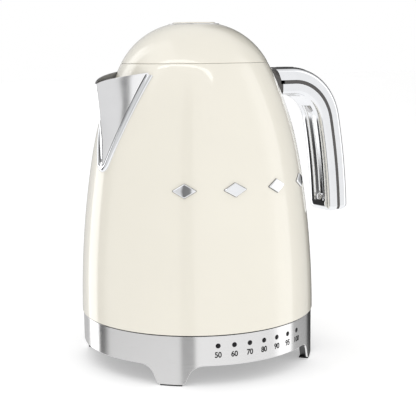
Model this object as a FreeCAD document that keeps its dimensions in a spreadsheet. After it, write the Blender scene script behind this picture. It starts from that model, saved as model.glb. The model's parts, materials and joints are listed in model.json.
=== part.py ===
"""Electric kettle with a variable temperature base: every piece is its own solid.

The frame: +Z up, the origin where the swivel axis meets the worktop, the spout along -X,
the handle along +X, and the row of lamps facing -Y. Millimetres and degrees.
"""
import FreeCAD, Part
import math
import os
import re
import Sketcher
from FreeCAD import Placement, Rotation, Vector

doc = FreeCAD.newDocument("electric_kettle")
sheet = doc.addObject("Spreadsheet::Sheet", "Dims")

SIZES = {
    # outline of the jug and lid: three arcs, each with its centre (out from the axis, up) and radius
    "lower_out": -589.44, "lower_up": 32.4, "lower_round": 675.2,
    "upper_out": -147.36, "upper_up": 110.73, "upper_round": 226.2,
    "dome_out": 5.45, "dome_up": 190.62, "dome_round": 53.82,
    "jug_foot": 35.6, "waist": 150.21, "seam": 215.3, "lid_edge": 215.75, "lid_top": 242.8,
    "wall": 1.0, "trim_gap": 0.05,
    # base
    "ring_radius": 85.0, "ring_wall": 1.2, "ring_top": 35.0, "lip_radius": 82.0, "lip_thick": 1.2,
    "arch_roof": 14.1, "arch_half": 53.5, "arch_lean": 19.5, "arch_round": 9.5,
    "leg_clear": 0.9, "leg_radius": 83.5, "leg_depth": 5.5, "pad_span": 10.4,
    "pan_low": 14.8, "pan_thick": 1.8, "pan_rim": 17.8,
    "plate_low": 33.3, "plate_top": 34.9, "hub_hole": 17.2,
    "boss_spot": 38.0, "boss_radius": 4.0, "screw_radius": 1.5, "screw_head": 3.0, "screw_tip": 28.0,
    "lamp_hole": 1.6, "lamp_height": 28.0, "lamp_step": 7.7, "lamp_count": 7.0,
    "button_spread": 13.0, "button_height": 24.5, "button_radius": 5.0, "button_face": 85.2,
    "button_back": 76.2, "flange_back": 80.0, "flange_thick": 1.5, "flange_wide": 1.2,
    "gland_radius": 4.2, "gland_height": 9.6, "gland_bore": 3.2, "gland_start": 66.0, "gland_length": 18.0,
    "saddle_half": 5.5, "saddle_low": 6.0, "head_thick": 1.8, "under": 3.0,
    "board_reach": 79.2, "board_half": 32.0, "board_back": 40.0, "board_level": 22.0, "board_thick": 1.6,
    "led_size": 3.0, "led_tall": 6.2, "guide_inner": 80.2, "guide_outer": 82.8, "guide_half": 2.6,
    "guide_span": 50.0, "switch_face": 71.6, "switch_spread": 20.0, "switch_fall": 6.5, "switch_half": 3.0,
    # 360 degree connector
    "tower_radius": 15.6, "tower_top": 45.5, "tower_low": 27.0, "pin_radius": 2.4, "pin_bore": 3.4,
    "tower_foot": 22.0, "post_spot": 19.5, "post_radius": 2.0,
    "slot_inner": 6.6, "slot_outer": 9.0, "slot_floor": 31.0, "contact_wall": 0.4,
    "socket_bore": 16.8, "socket_radius": 20.6, "socket_roof": 47.0, "socket_top": 49.2,
    # jug inside
    "cover_low": 36.6, "cover_thick": 2.0, "cover_radius": 83.8, "rest_rib": 35.1, "rib_radius": 70.0,
    "floor_low": 50.0, "floor_thick": 1.2, "floor_radius": 82.6, "floor_rim": 6.0,
    "cutout_spot": 33.0, "cutout_radius": 9.0, "cutout_tall": 3.0,
    "probe_spot": 30.0, "probe_radius": 2.5, "probe_tall": 16.0,
    "element_ring": 50.0, "element_radius": 4.0, "element_height": 45.9,
    "neck_bore": 50.0, "neck_low": 206.0, "neck_top": 214.7, "neck_wall": 1.5,
    "window_half": 6.5, "window_low": 70.0, "window_high": 148.0, "window_band": 2.5,
    # spout
    "spout_mouth": 202.5, "spout_reach": 80.1, "spout_wall": 1.5, "nose_half": 1.3, "rim_slope": 0.36,
    "trim_low": 141.3, "trim_high": 208.0, "trim_width": 4.3, "trim_proud": 1.8,
    "trim_turn": 8.1, "trim_side": 26.8, "trim_round": 220.0, "trim_nose_round": 8.65,
    # badges
    "badge_height": 132.5, "badge_half": 8.3, "badge_rise": 4.8, "badge_proud": 1.4, "badge_step": 25.3,
    # handle: a straight root, a tight bend and a long gentle bend
    "handle_root": 72.5, "handle_level": 199.8, "bend_start": 83.0, "bend_round": 36.0,
    "bend_turn": 78.5, "grip_round": 458.0, "grip_turn": 9.4,
    "grip_half": 13.0, "grip_out": 10.3, "grip_in": 9.7, "grip_wall": 1.6,
    "strip_half": 1.3, "out_corner": 7.5, "in_corner": 5.0, "channel_half": 4.8, "channel_depth": 1.2,
    "core_half": 9.0, "core_depth": 4.0,
    "plug_radius": 3.0, "plug_turn": 60.0, "plug_drop": 86.6,
    # lid
    "lid_wall": 1.2, "disc_radius": 15.5, "disc_high": 244.3, "disc_stem": 3.0, "plug_wall": 1.5,
    "lid_plug": 46.0, "lid_plug_low": 210.5, "hinge_out": 63.0, "hinge_up": 204.6,
    "hinge_half": 5.0, "knuckle": 2.8, "pin_round": 1.2, "pin_half": 11.0, "running": 0.05,
    # release button
    "release_near": 76.4, "release_far": 87.6, "release_half": 6.0, "release_top": 211.0,
    "stem_near": 78.4, "stem_far": 80.2, "stem_half": 2.5, "spring_spot": 84.2,
    "latch_near": 66.6, "latch_far": 75.8, "latch_half": 3.0,
    # spout filter
    "filter_half": 17.0, "filter_tall": 35.5, "filter_thick": 2.2, "filter_lean": 17.25,
    "filter_foot": 68.5, "filter_low": 158.0, "filter_rim": 2.5,
    "rail_wide": 2.0, "rail_lip": 1.5, "play": 0.3,
    "beyond": 40.0,
}
for row, (alias, size) in enumerate(SIZES.items(), 1):
    sheet.set(f"A{row}", alias)
    sheet.set(f"B{row}", str(size))
    sheet.setAlias(f"B{row}", alias)
doc.recompute()

FUNCTIONS = {"sin", "cos", "tan", "sqrt", "abs"}
FAR = 200                       # longer than any cut needs to be
PARTS = []


# ---------------------------------------------------------------- helpers

def bind(formula):
    """Turn the plain words of a formula into references to the sheet."""
    def swap(match):
        word = match.group(0)
        return word if word in FUNCTIONS else "Dims." + word
    return re.sub(r"[A-Za-z_]\w*", swap, str(formula))


def value(formula):
    return float(sheet.evalExpression(bind(formula)))


def skin(height, out="0"):
    """The jug's or lid's outer radius at a height, moved out by a distance."""
    level = value(height)
    arc = "lower" if level <= value("waist") else "upper" if level <= value("lid_edge - 0.1") else "dome"
    rise = f"({height} - {arc}_up)"
    return f"{arc}_out + sqrt({arc}_round * {arc}_round - {rise} * {rise}) + {out}"


def new_body(label):
    body = doc.addObject("PartDesign::Body", label)
    body.Label = label
    PARTS.append(body)
    return body


def new_sketch(body, plane, turn=0.0, away=None):
    """A sketch on an origin plane: a vertical plane may be turned about Z, any may be moved off."""
    sketch = body.newObject("Sketcher::SketchObject", body.Label + "_sketch")
    support = next(part for part in body.Origin.OriginFeatures if part.Role == plane + "_Plane")
    sketch.AttachmentSupport = [(support, "")]
    sketch.MapMode = "FlatFace"
    if turn:
        sketch.AttachmentOffset = Placement(Vector(), Rotation(Vector(0, 1, 0), turn))
    if away is not None:
        sketch.setExpression("AttachmentOffset.Base.z", bind(away))
    return sketch


def pin_point(sketch, geometry, place, x, y):
    for kind, formula in (("DistanceX", x), ("DistanceY", y)):
        index = sketch.addConstraint(Sketcher.Constraint(kind, -1, 1, geometry, place, value(formula)))
        sketch.setExpression(f"Constraints[{index}]", bind(formula))


def add_round(sketch, geometry, radius):
    index = sketch.addConstraint(Sketcher.Constraint("Radius", geometry, abs(value(radius))))
    sketch.setExpression(f"Constraints[{index}]", "abs(" + bind(radius) + ")")


def outline(sketch, steps, closed=True):
    """Draw lines from step to step; a step with a radius starts an arc, positive turning left."""
    count = len(steps) if closed else len(steps) - 1
    ends = []
    for number in range(count):
        step, following = steps[number], steps[(number + 1) % len(steps)]
        start = Vector(value(step[0]), value(step[1]), 0)
        end = Vector(value(following[0]), value(following[1]), 0)
        if len(step) == 2:
            ends.append((sketch.addGeometry(Part.LineSegment(start, end), False), 1, 2))
            continue
        radius = value(step[2])
        chord = end - start
        across = Vector(-chord.y, chord.x, 0).normalize()
        rise = math.sqrt(max(radius * radius - chord.Length ** 2 / 4, 0))
        centre = (start + end) * 0.5 + across * math.copysign(rise, radius)
        first = math.atan2(start.y - centre.y, start.x - centre.x)
        last = math.atan2(end.y - centre.y, end.x - centre.x)
        ring = Part.Circle(centre, Vector(0, 0, 1), abs(radius))
        if radius > 0:
            ends.append((sketch.addGeometry(Part.ArcOfCircle(ring, first, last), False), 1, 2))
        else:
            ends.append((sketch.addGeometry(Part.ArcOfCircle(ring, last, first), False), 2, 1))
    for number in range(count):
        if number or closed:
            before, here = ends[number - 1], ends[number]
            sketch.addConstraint(Sketcher.Constraint("Coincident", before[0], before[2], here[0], here[1]))
    for number in range(count):
        pin_point(sketch, ends[number][0], ends[number][1], steps[number][0], steps[number][1])
        if len(steps[number]) > 2:
            add_round(sketch, ends[number][0], steps[number][2])
    if not closed:
        pin_point(sketch, ends[-1][0], ends[-1][2], steps[-1][0], steps[-1][1])


def box_outline(sketch, left, right, low, high):
    outline(sketch, [(left, low), (right, low), (right, high), (left, high)])


def circle(sketch, x, y, radius):
    ring = Part.Circle(Vector(value(x), value(y), 0), Vector(0, 0, 1), value(radius))
    geometry = sketch.addGeometry(ring, False)
    pin_point(sketch, geometry, 3, x, y)
    add_round(sketch, geometry, radius)


def feature(body, kind, sketch):
    made = body.newObject("PartDesign::" + kind, body.Label + "_" + kind.lower())
    made.Profile = sketch
    return made


def pad(body, sketch, length, both=False, back=False):
    made = feature(body, "Pad", sketch)
    made.SideType = "Symmetric" if both else "One side"
    made.Reversed = back
    made.setExpression("Length", bind(length))
    return made


def pocket(body, sketch, both=False, along=False, length=None):
    """Cut right through, or to a length: against the sketch's normal, along it, or both ways."""
    doc.recompute()
    before = body.Shape.Volume
    made = feature(body, "Pocket", sketch)
    made.SideType = "Symmetric" if both else "One side"
    made.Reversed = along
    made.Type = "Length"
    made.Length = 2 * FAR if both else FAR
    if length:
        made.setExpression("Length", bind(length))
    doc.recompute()
    if not body.Shape.Volume < before - 0.01:
        raise RuntimeError(f"{body.Label}: a pocket cuts nothing")
    return made


def spin(body, sketch, angle="360", kind="Revolution"):
    """Turn a profile about Z, half of the angle to each side of its plane."""
    made = feature(body, kind, sketch)
    made.ReferenceAxis = (sketch, ["V_Axis"])
    made.Midplane = True
    made.setExpression("Angle", bind(angle))
    return made


def polar(body, original, count, angle):
    pattern = body.newObject("PartDesign::PolarPattern", body.Label + "_pattern")
    pattern.Originals = [original]
    axis = next(part for part in body.Origin.OriginFeatures if part.Role == "Z_Axis")
    pattern.Axis = (axis, [""])
    pattern.setExpression("Angle", bind(angle))
    pattern.setExpression("Occurrences", bind(count))
    body.Tip = pattern


def turned(label, steps, angle="360", turn=0.0):
    """A body made by turning one outline about Z."""
    body = new_body(label)
    sketch = new_sketch(body, "XZ", turn)
    outline(sketch, steps)
    spin(body, sketch, angle)
    return body


def ring_steps(inner, outer, low, high):
    return [(inner, low), (outer, low), (outer, high), (inner, high)]


def block(label, low, high, keep=True):
    """A Part::Box between two corners."""
    box = doc.addObject("Part::Box", label)
    box.Label = label
    for size, axis, first, last in zip(("Length", "Width", "Height"), "xyz", low, high):
        box.setExpression(size, bind(f"({last}) - ({first})"))
        box.setExpression("Placement.Base." + axis, bind(first))
    if keep:
        PARTS.append(box)
    return box


def rod(label, radius, height, keep=True):
    made = doc.addObject("Part::Cylinder", label)
    made.Label = label
    made.setExpression("Radius", bind(radius))
    made.setExpression("Height", bind(height))
    if keep:
        PARTS.append(made)
    return made


def boolean(label, kind, pieces, keep=True):
    """Part::Cut takes a base and a tool, the others a list."""
    made = doc.addObject("Part::" + kind, label)
    made.Label = label
    if kind == "Cut":
        made.Base, made.Tool = pieces
    elif kind == "Compound":
        made.Links = pieces
    else:
        made.Shapes = pieces
    if keep:
        PARTS.append(made)
    return made


# ---------------------------------------------------------------- power base

def cut_arches(body, roof):
    """Cut the four arches that leave four splayed legs, at 45 degrees to the axes."""
    reach = "arch_round * tan(45 - arch_lean / 2)"
    corner = f"(arch_half - ({roof}) * tan(arch_lean))"
    side = f"{corner} + {reach} * sin(arch_lean)"
    spring = f"({roof}) - {reach} * cos(arch_lean)"
    crown = f"{corner} - {reach}"
    foot = "arch_half + under * tan(arch_lean)"
    for plane in ("XZ", "YZ"):
        sketch = new_sketch(body, plane)
        outline(sketch, [(f"-({foot})", "-under"), (foot, "-under"), (side, spring, "arch_round"),
                         (crown, roof), (f"-({crown})", roof, "arch_round"), (f"-({side})", spring)])
        pocket(body, sketch, both=True)


def make_base_ring():
    body = turned("base_ring", [
        ("ring_radius", "leg_clear"), ("ring_radius", "ring_top"), ("lip_radius", "ring_top"),
        ("lip_radius", "ring_top - lip_thick"), ("ring_radius - ring_wall", "ring_top - lip_thick"),
        ("ring_radius - ring_wall", "leg_clear")])
    cut_arches(body, "arch_roof")
    holes = new_sketch(body, "YZ")
    for side in ("button_spread", "-button_spread"):
        circle(holes, side, "button_height", "button_radius + play")
    pocket(body, holes, along=True)
    first = new_sketch(body, "XZ", -value("lamp_step * (lamp_count - 1) / 2"))
    circle(first, "0", "lamp_height", "lamp_hole")
    polar(body, pocket(body, first, along=True), "lamp_count", "lamp_step * (lamp_count - 1)")


def make_base_plates():
    top = turned("base_top_plate", ring_steps("hub_hole", "lip_radius - play", "plate_low", "plate_top"))
    bosses = new_sketch(top, "XY", away="pan_low + pan_thick + play")
    holes = new_sketch(top, "XY", away="plate_low - 1")
    pan = new_body("base_bottom_cover")
    profile = new_sketch(pan, "XZ")
    outline(profile, [
        ("0", "pan_low"), ("leg_radius - leg_depth", "pan_low"), ("leg_radius - leg_depth", "leg_clear"),
        ("leg_radius", "leg_clear"), ("leg_radius", "pan_rim"), ("leg_radius - 1.5", "pan_rim"),
        ("leg_radius - 1.5", "pan_low + pan_thick"), ("0", "pan_low + pan_thick")])
    spin(pan, profile)
    cut_arches(pan, "pan_low - 0.1")
    passages = new_sketch(pan, "XY")
    for x, y in corners():
        circle(bosses, x, y, "boss_radius")
        circle(holes, x, y, "screw_radius + running")
        circle(passages, x, y, "screw_radius + 0.2")
    pad(top, bosses, "plate_low - pan_low - pan_thick - play")
    pocket(top, holes)
    pocket(pan, passages, along=True)


def corners():
    return [(x, y) for x in ("boss_spot", "-boss_spot") for y in ("boss_spot", "-boss_spot")]


def make_base_screws():
    pieces = []
    for number, (x, y) in enumerate(corners(), 1):
        shank = rod(f"base_screw_shank_{number}", "screw_radius", "screw_tip - pan_low", keep=False)
        head = rod(f"base_screw_head_{number}", "screw_head", "head_thick", keep=False)
        for piece, height in ((shank, "pan_low"), (head, "pan_low - head_thick")):
            piece.setExpression("Placement.Base.x", bind(x))
            piece.setExpression("Placement.Base.y", bind(y))
            piece.setExpression("Placement.Base.z", bind(height))
        pieces.append(boolean(f"base_screw_{number}", "MultiFuse", [shank, head], keep=False))
    boolean("base_screws", "Compound", pieces)


def make_foot_pads():
    for number in range(4):
        turned(f"foot_pad_{number + 1}",
               ring_steps("leg_radius - leg_depth", "ring_radius - play", "0", "leg_clear"),
               "pad_span", 45 + 90 * number)


def make_base_connector():
    body = turned("base_connector", [
        ("pin_bore", "tower_low"), ("tower_foot", "tower_low"), ("tower_foot", "tower_low + 2"),
        ("tower_radius", "tower_low + 2"), ("tower_radius", "tower_top - 1.5"),
        ("tower_radius - 1.5", "tower_top"), ("slot_outer", "tower_top"), ("slot_outer", "slot_floor"),
        ("slot_inner", "slot_floor"), ("slot_inner", "tower_top"), ("pin_bore", "tower_top")])
    posts = new_sketch(body, "XY", away="pan_low + pan_thick")
    for x in ("post_spot", "-post_spot"):
        circle(posts, x, "0", "post_radius")
    pad(body, posts, "tower_low - pan_low - pan_thick")
    turned("live_contact_ring", ring_steps("slot_inner + trim_gap", "slot_inner + contact_wall",
                                           "slot_floor + 1", "tower_top - 2"))
    turned("earth_contact_ring", ring_steps("tower_radius + trim_gap", "tower_radius + contact_wall",
                                            "tower_top - 7", "tower_top - 2"))
    turned("connector_pin", [("0", "tower_low - 1"), ("pin_radius", "tower_low - 1"),
                             ("pin_radius", "tower_top - 2.4", "pin_radius"), ("0", "tower_top")])


def make_base_electronics():
    board = new_body("control_board")
    shape = new_sketch(board, "XY", away="board_level")
    edge = "-sqrt(board_reach * board_reach - board_half * board_half)"
    outline(shape, [("-board_half", edge, "board_reach"), ("board_half", edge),
                    ("board_half", "-board_back"), ("-board_half", "-board_back")])
    pad(board, shape, "board_thick")
    leds = []
    for number in range(int(value("lamp_count"))):
        turn = value(f"lamp_step * ({number} - (lamp_count - 1) / 2)")
        led = doc.addObject("Part::Box", f"led_{number + 1}")
        for size, formula in (("Length", "led_size"), ("Width", "led_size"), ("Height", "led_tall")):
            led.setExpression(size, bind(formula))
        corner = Vector(value("-led_size / 2"), value("-board_reach + 0.2"),
                        value("board_level + board_thick"))
        led.Placement = Placement(Vector(), Rotation(Vector(0, 0, 1), turn)).multiply(
            Placement(corner, Rotation()))
        leds.append(led)
    boolean("indicator_leds", "Compound", leds)
    guide = turned("indicator_light_guide",
                   ring_steps("guide_inner", "guide_outer", "lamp_height - guide_half",
                              "lamp_height + guide_half"), "guide_span", -90)
    first = new_sketch(guide, "XZ", -value("lamp_step * (lamp_count - 1) / 2"))
    circle(first, "0", "lamp_height", "lamp_hole - 0.1")
    span = value("lamp_step * (lamp_count - 1) / 2")
    aim = Rotation(Vector(0, 1, 0), -span)
    first.AttachmentOffset = Placement(aim.multVec(Vector(0, 0, value("guide_outer - play"))), aim)
    stud = pad(guide, first, "ring_radius - guide_outer + play / 2")
    doc.recompute()
    polar(guide, stud, "lamp_count", "lamp_step * (lamp_count - 1)")
    block("button_board", ("switch_face - board_thick", "-switch_spread", "button_height - switch_fall"),
          ("switch_face", "switch_spread", "button_height + switch_fall"))
    low, high = "button_height - switch_half", "button_height + switch_half"
    switches = [block(f"switch_{name}", ("switch_face", f"{side} - switch_half", low),
                      ("switch_face + 3", f"{side} + switch_half", high), keep=False)
                for name, side in (("start", "-button_spread"), ("temperature", "button_spread"))]
    boolean("button_switches", "Compound", switches)


def make_base_button(label, side):
    body = new_body(label)
    stem = new_sketch(body, "YZ", away="button_back")
    circle(stem, side, "button_height", "button_radius")
    pad(body, stem, "button_face - button_back")
    flange = new_sketch(body, "YZ", away="flange_back")
    circle(flange, side, "button_height", "button_radius + flange_wide")
    pad(body, flange, "flange_thick")


def make_cord_gland():
    saddle = block("gland_saddle", ("-saddle_half", "gland_start", "saddle_low"),
                   ("saddle_half", "leg_radius - leg_depth - 0.5", "pan_low"), keep=False)
    collar = rod("gland_collar", "gland_radius", "gland_length", keep=False)
    bore = rod("gland_hole", "gland_bore", "gland_length + 12", keep=False)
    for piece, start in ((collar, "gland_start"), (bore, "gland_start - 6")):
        piece.Placement = Placement(Vector(0, value(start), value("gland_height")),
                                    Rotation(Vector(1, 0, 0), -90))
    solid = boolean("gland_solid", "MultiFuse", [saddle, collar], keep=False)
    boolean("cord_gland", "Cut", (solid, bore))


# ---------------------------------------------------------------- jug

def shell_steps(low, high, outer, inner):
    """An outline between two skins of the jug, from a low height to a high one."""
    if value(low) < value("waist") < value(high):
        return [(skin(low, outer), low, "lower_round"), (skin("waist", outer), "waist", "upper_round"),
                (skin(high, outer), high), (skin(high, inner), high, "-upper_round"),
                (skin("waist", inner), "waist", "-lower_round"), (skin(low, inner), low)]
    arc = "lower_round" if value(high) <= value("waist") else "upper_round"
    return [(skin(low, outer), low, arc), (skin(high, outer), high),
            (skin(high, inner), high, "-" + arc), (skin(low, inner), low)]


def make_jug_shell():
    body = turned("jug_shell", shell_steps("jug_foot", "seam", "0", "-wall"))
    mouth = new_sketch(body, "YZ")
    outline(mouth, [("0", "trim_low + 11"), ("17", "neck_low - 2"), ("-17", "neck_low - 2")])
    pocket(body, mouth)
    gauge = new_sketch(body, "YZ")
    box_outline(gauge, "-window_half + 1", "window_half - 1", "window_low + 1", "window_high - 1")
    pocket(body, gauge, along=True)


def patch(label, low, high, outer, inner, turn, span):
    """A piece of a layer on the jug's skin, to be trimmed to its outline."""
    body = turned(label, shell_steps(low, high, outer, inner), span, turn)
    return body, new_sketch(body, "YZ", turn)


def make_level_window():
    glass, sketch = patch("level_window", "window_low + 1 + play", "window_high - 1 - play",
                          "0.3", "-wall - 1.5", 0, "20")
    box_outline(sketch, "-beyond", "beyond", "window_low - 9", "window_high + 9")
    box_outline(sketch, "-window_half + 1 + play", "window_half - 1 - play",
                "window_low - 5", "window_high + 5")
    pocket(glass, sketch, both=True)
    frame, sketch = patch("level_window_frame", "window_low - window_band", "window_high + window_band",
                          "1.2", "trim_gap", 0, "30")
    box_outline(sketch, "-beyond", "beyond", "window_low - 9", "window_high + 9")
    outline(sketch, [
        ("-window_half - window_band + 4", "window_low - window_band"),
        ("window_half + window_band - 4", "window_low - window_band", "4"),
        ("window_half + window_band", "window_low - window_band + 4"),
        ("window_half + window_band", "window_high + window_band - 4", "4"),
        ("window_half + window_band - 4", "window_high + window_band"),
        ("-window_half - window_band + 4", "window_high + window_band", "4"),
        ("-window_half - window_band", "window_high + window_band - 4"),
        ("-window_half - window_band", "window_low - window_band + 4", "4")])
    box_outline(sketch, "-window_half", "window_half", "window_low", "window_high")
    pocket(frame, sketch, both=True)


def make_badges():
    """Four plain lozenges in a row, level with each other, centred on the lamp side."""
    for number in range(4):
        turn = value(f"-90 + ({number} - 1.5) * badge_step")
        body, sketch = patch(f"badge_{number + 1}", "badge_height - badge_rise",
                             "badge_height + badge_rise", "badge_proud", "trim_gap", turn, "16")
        box_outline(sketch, "-30", "30", "badge_height - 20", "badge_height + 20")
        outline(sketch, [("-badge_half", "badge_height"), ("0", "badge_height - badge_rise"),
                         ("badge_half", "badge_height"), ("0", "badge_height + badge_rise")])
        pocket(body, sketch, both=True)


def spout_section(body, height, nose, half):
    """One level of the beak: a narrow nose, spreading to the jug's skin."""
    root = f"sqrt(({skin(height)}) * ({skin(height)}) - ({half}) * ({half})) - 0.5"
    sketch = new_sketch(body, "XY", away=height)
    outline(sketch, [(f"-({nose})", "-nose_half"), (f"-({root})", f"-({half})"), ("-beyond", f"-({half})"),
                     ("-beyond", half), (f"-({root})", half), (f"-({nose})", "nose_half")])
    return sketch


def make_spout():
    """A folded beak: the outer wedge less an inner one, the jug's own volume and the slanted rim."""
    body = new_body("spout")
    wedge = [("trim_low + 5.7", "76.9", "2.4"), ("165", "77", "11.4"), ("187", "78.4", "17.5"),
             ("spout_mouth", "spout_reach", "20.7"), ("213", "spout_reach + 2.4", "22.6")]
    hollow = [("152", "75.6", "3.3")]
    hollow += [(height, f"{nose} - spout_wall - 0.3", f"{half} - spout_wall - 0.5")
               for height, nose, half in wedge[1:]]
    for kind, levels in (("AdditiveLoft", wedge), ("SubtractiveLoft", hollow)):
        sketches = [spout_section(body, *level) for level in levels]
        loft = feature(body, kind, sketches[0])
        loft.Sections = sketches[1:]
        loft.Ruled = True
    doc.recompute()
    profile = new_sketch(body, "XZ")
    low = "trim_low - 5"
    outline(profile, [("0", low), (skin(low, "trim_gap"), low, "lower_round"),
                      (skin("waist", "trim_gap"), "waist", "upper_round"),
                      (skin("seam", "trim_gap"), "seam"), ("0", "seam")])
    spin(body, profile, kind="Groove")
    rim = new_sketch(body, "XZ")
    outline(rim, [("-90", "spout_mouth - 9.9 * rim_slope"), ("-40", "spout_mouth + 40.1 * rim_slope"),
                  ("-40", "beyond * 6"), ("-90", "beyond * 6")])
    pocket(body, rim, both=True)


def make_spout_trim():
    body, sketch = patch("spout_trim", "trim_low - 2", "trim_high", "trim_proud", "trim_gap", 180, "66")
    box_outline(sketch, "-60", "60", "trim_low - 20", "trim_high + 20")
    start, finish = "trim_low + 5.7", "trim_high + 5"
    outline(sketch, [("-trim_turn", start, "trim_nose_round"), ("trim_turn", start, "trim_round"),
                     ("trim_side + 1.2", finish), ("-trim_side - 1.2", finish, "trim_round")])
    outline(sketch, [("0", "trim_low + 4.5"), ("3.6", start, "trim_round"),
                     ("trim_side - trim_width + 1", finish),
                     ("-trim_side + trim_width - 1", finish, "trim_round"), ("-3.6", start)])
    pocket(body, sketch, both=True)


def make_jug_inside():
    turned("heater_plate", [
        ("0", "floor_low"), ("floor_radius", "floor_low"), ("floor_radius", "floor_low + floor_rim"),
        ("floor_radius - 1", "floor_low + floor_rim"), ("floor_radius - 1", "floor_low + floor_thick"),
        ("0", "floor_low + floor_thick")])
    turned("heater_seal", ring_steps("floor_radius + trim_gap", "floor_radius + 1.5",
                                     "floor_low + 0.5", "floor_low + 5.5"))
    element = doc.addObject("Part::Torus", "heating_element")
    element.Label = "heating_element"
    element.setExpression("Radius1", bind("element_ring"))
    element.setExpression("Radius2", bind("element_radius"))
    element.Angle3 = 310
    element.Placement = Placement(Vector(0, 0, value("element_height")), Rotation(Vector(0, 0, 1), 25))
    PARTS.append(element)
    cutouts = []
    for number, side in enumerate(("cutout_spot", "-cutout_spot"), 1):
        disc = rod(f"cutout_{number}", "cutout_radius", "cutout_tall", keep=False)
        disc.setExpression("Placement.Base.y", bind(side))
        disc.setExpression("Placement.Base.z", bind("floor_low - cutout_tall"))
        cutouts.append(disc)
    boolean("thermal_cutouts", "Compound", cutouts)
    probe = rod("temperature_probe", "probe_radius", "probe_tall")
    probe.setExpression("Placement.Base.x", bind("probe_spot"))
    probe.setExpression("Placement.Base.z", bind("floor_low + floor_thick"))
    turned("jug_neck", [
        ("neck_bore", "neck_low"), (skin("neck_low", "-wall - 0.3"), "neck_low"),
        (skin("neck_low + 1.2", "-wall - 0.3"), "neck_low + 1.2"),
        ("neck_bore + neck_wall", "neck_low + 1.2"), ("neck_bore + neck_wall", "neck_top"),
        ("neck_bore", "neck_top")])


def make_jug_underside():
    turned("jug_bottom_cover", [
        ("socket_radius + play", "cover_low"), ("rib_radius", "cover_low"), ("rib_radius", "rest_rib"),
        ("rib_radius + 2", "rest_rib"), ("rib_radius + 2", "cover_low"), ("cover_radius", "cover_low"),
        ("cover_radius", "cover_low + cover_thick"),
        ("socket_radius + play", "cover_low + cover_thick")])
    turned("jug_connector", [
        ("slot_inner + 1.1", "slot_floor + 2.5"), ("slot_outer - 0.4", "slot_floor + 2.5"),
        ("slot_outer - 0.4", "socket_roof"), ("socket_bore", "socket_roof"),
        ("socket_bore", "cover_low + 0.5"),
        ("socket_radius", "cover_low + 0.5"), ("socket_radius", "cover_low + cover_thick"),
        ("26", "cover_low + cover_thick"), ("26", "cover_low + cover_thick + 1.5"),
        ("socket_radius", "cover_low + cover_thick + 1.5"), ("socket_radius", "socket_top"),
        ("slot_inner + 1.1", "socket_top")])
    blade = turned("contact_blade", ring_steps("slot_inner + contact_wall + 0.35", "slot_inner + 1.05",
                                               "slot_floor + 3", "socket_top"))
    tube = turned("contact_tube", ring_steps("pin_radius + 0.35", "pin_bore - 0.3", "36", "socket_top"))
    for piece in (blade, tube):
        PARTS.remove(piece)
    boolean("jug_contacts", "Compound", [blade, tube])


# ---------------------------------------------------------------- handle

def handle_point(turn, out="0", drop=None):
    """Where the handle's middle line is, moved out across it: on the tight bend by the angle
    turned, or on the gentle bend by the whole angle turned."""
    if drop is None:
        reach = f"(bend_round + {out})"
        return (f"bend_start + {reach} * sin({turn})",
                f"handle_level - bend_round + {reach} * cos({turn})")
    reach = f"(grip_round + {out})"
    return (f"bend_start + (bend_round - grip_round) * sin(bend_turn) + {reach} * sin({drop})",
            f"handle_level - bend_round + (bend_round - grip_round) * cos(bend_turn) + {reach} * cos({drop})")


def handle_path(body, shorter="0"):
    sketch = new_sketch(body, "XZ")
    bend = handle_point("bend_turn")
    end = handle_point("0", "0", f"bend_turn + grip_turn - {shorter}")
    outline(sketch, [("handle_root", "handle_level"), ("bend_start", "handle_level", "-bend_round"),
                     (bend[0], bend[1], "-grip_round"), end], closed=False)
    return sketch


def handle_sweep(body, kind, steps, shorter="0"):
    section = new_sketch(body, "YZ", away="handle_root")
    outline(section, [(step[0], f"handle_level + ({step[1]})") + tuple(step[2:]) for step in steps])
    path = handle_path(body, shorter)
    doc.recompute()
    pipe = feature(body, kind, section)
    pipe.Spine = path
    doc.recompute()


def half_section(half, low, depth, corner, side):
    """A half handle section from the strip (low) out to its depth; side is 1 outside, -1 inside."""
    turn = f"{-side} * ({corner})"
    edge, face = f"{side} * ({depth} - ({corner}))", f"{side} * ({depth})"
    return [(f"-({half})", f"{side} * ({low})"), (f"-({half})", edge, turn),
            (f"-({half}) + ({corner})", face), (f"({half}) - ({corner})", face, turn),
            (half, edge), (half, f"{side} * ({low})")]


def button_window(body, clearance):
    sketch = new_sketch(body, "XY", away="handle_level + core_depth")
    box_outline(sketch, f"release_near - {clearance}", f"release_far + {clearance}",
                f"-release_half - {clearance}", f"release_half + {clearance}")
    pocket(body, sketch, along=True)


def handle_rods(label, radius, near, far):
    """Two cylinders across the handle at the plugs, from one depth (inside the grip) to another."""
    pieces = []
    spots = ((handle_point("plug_turn", f"-({near})"), value("plug_turn")),
             (handle_point("0", f"-({near})", "plug_drop"), value("plug_drop")))
    for number, (spot, turn) in enumerate(spots, 1):
        piece = rod(f"{label}_{number}", radius, f"({near}) - ({far})", keep=False)
        piece.Placement = Placement(Vector(value(spot[0]), 0, value(spot[1])),
                                    Rotation(Vector(0, 1, 0), turn))
        pieces.append(piece)
    return pieces


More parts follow.
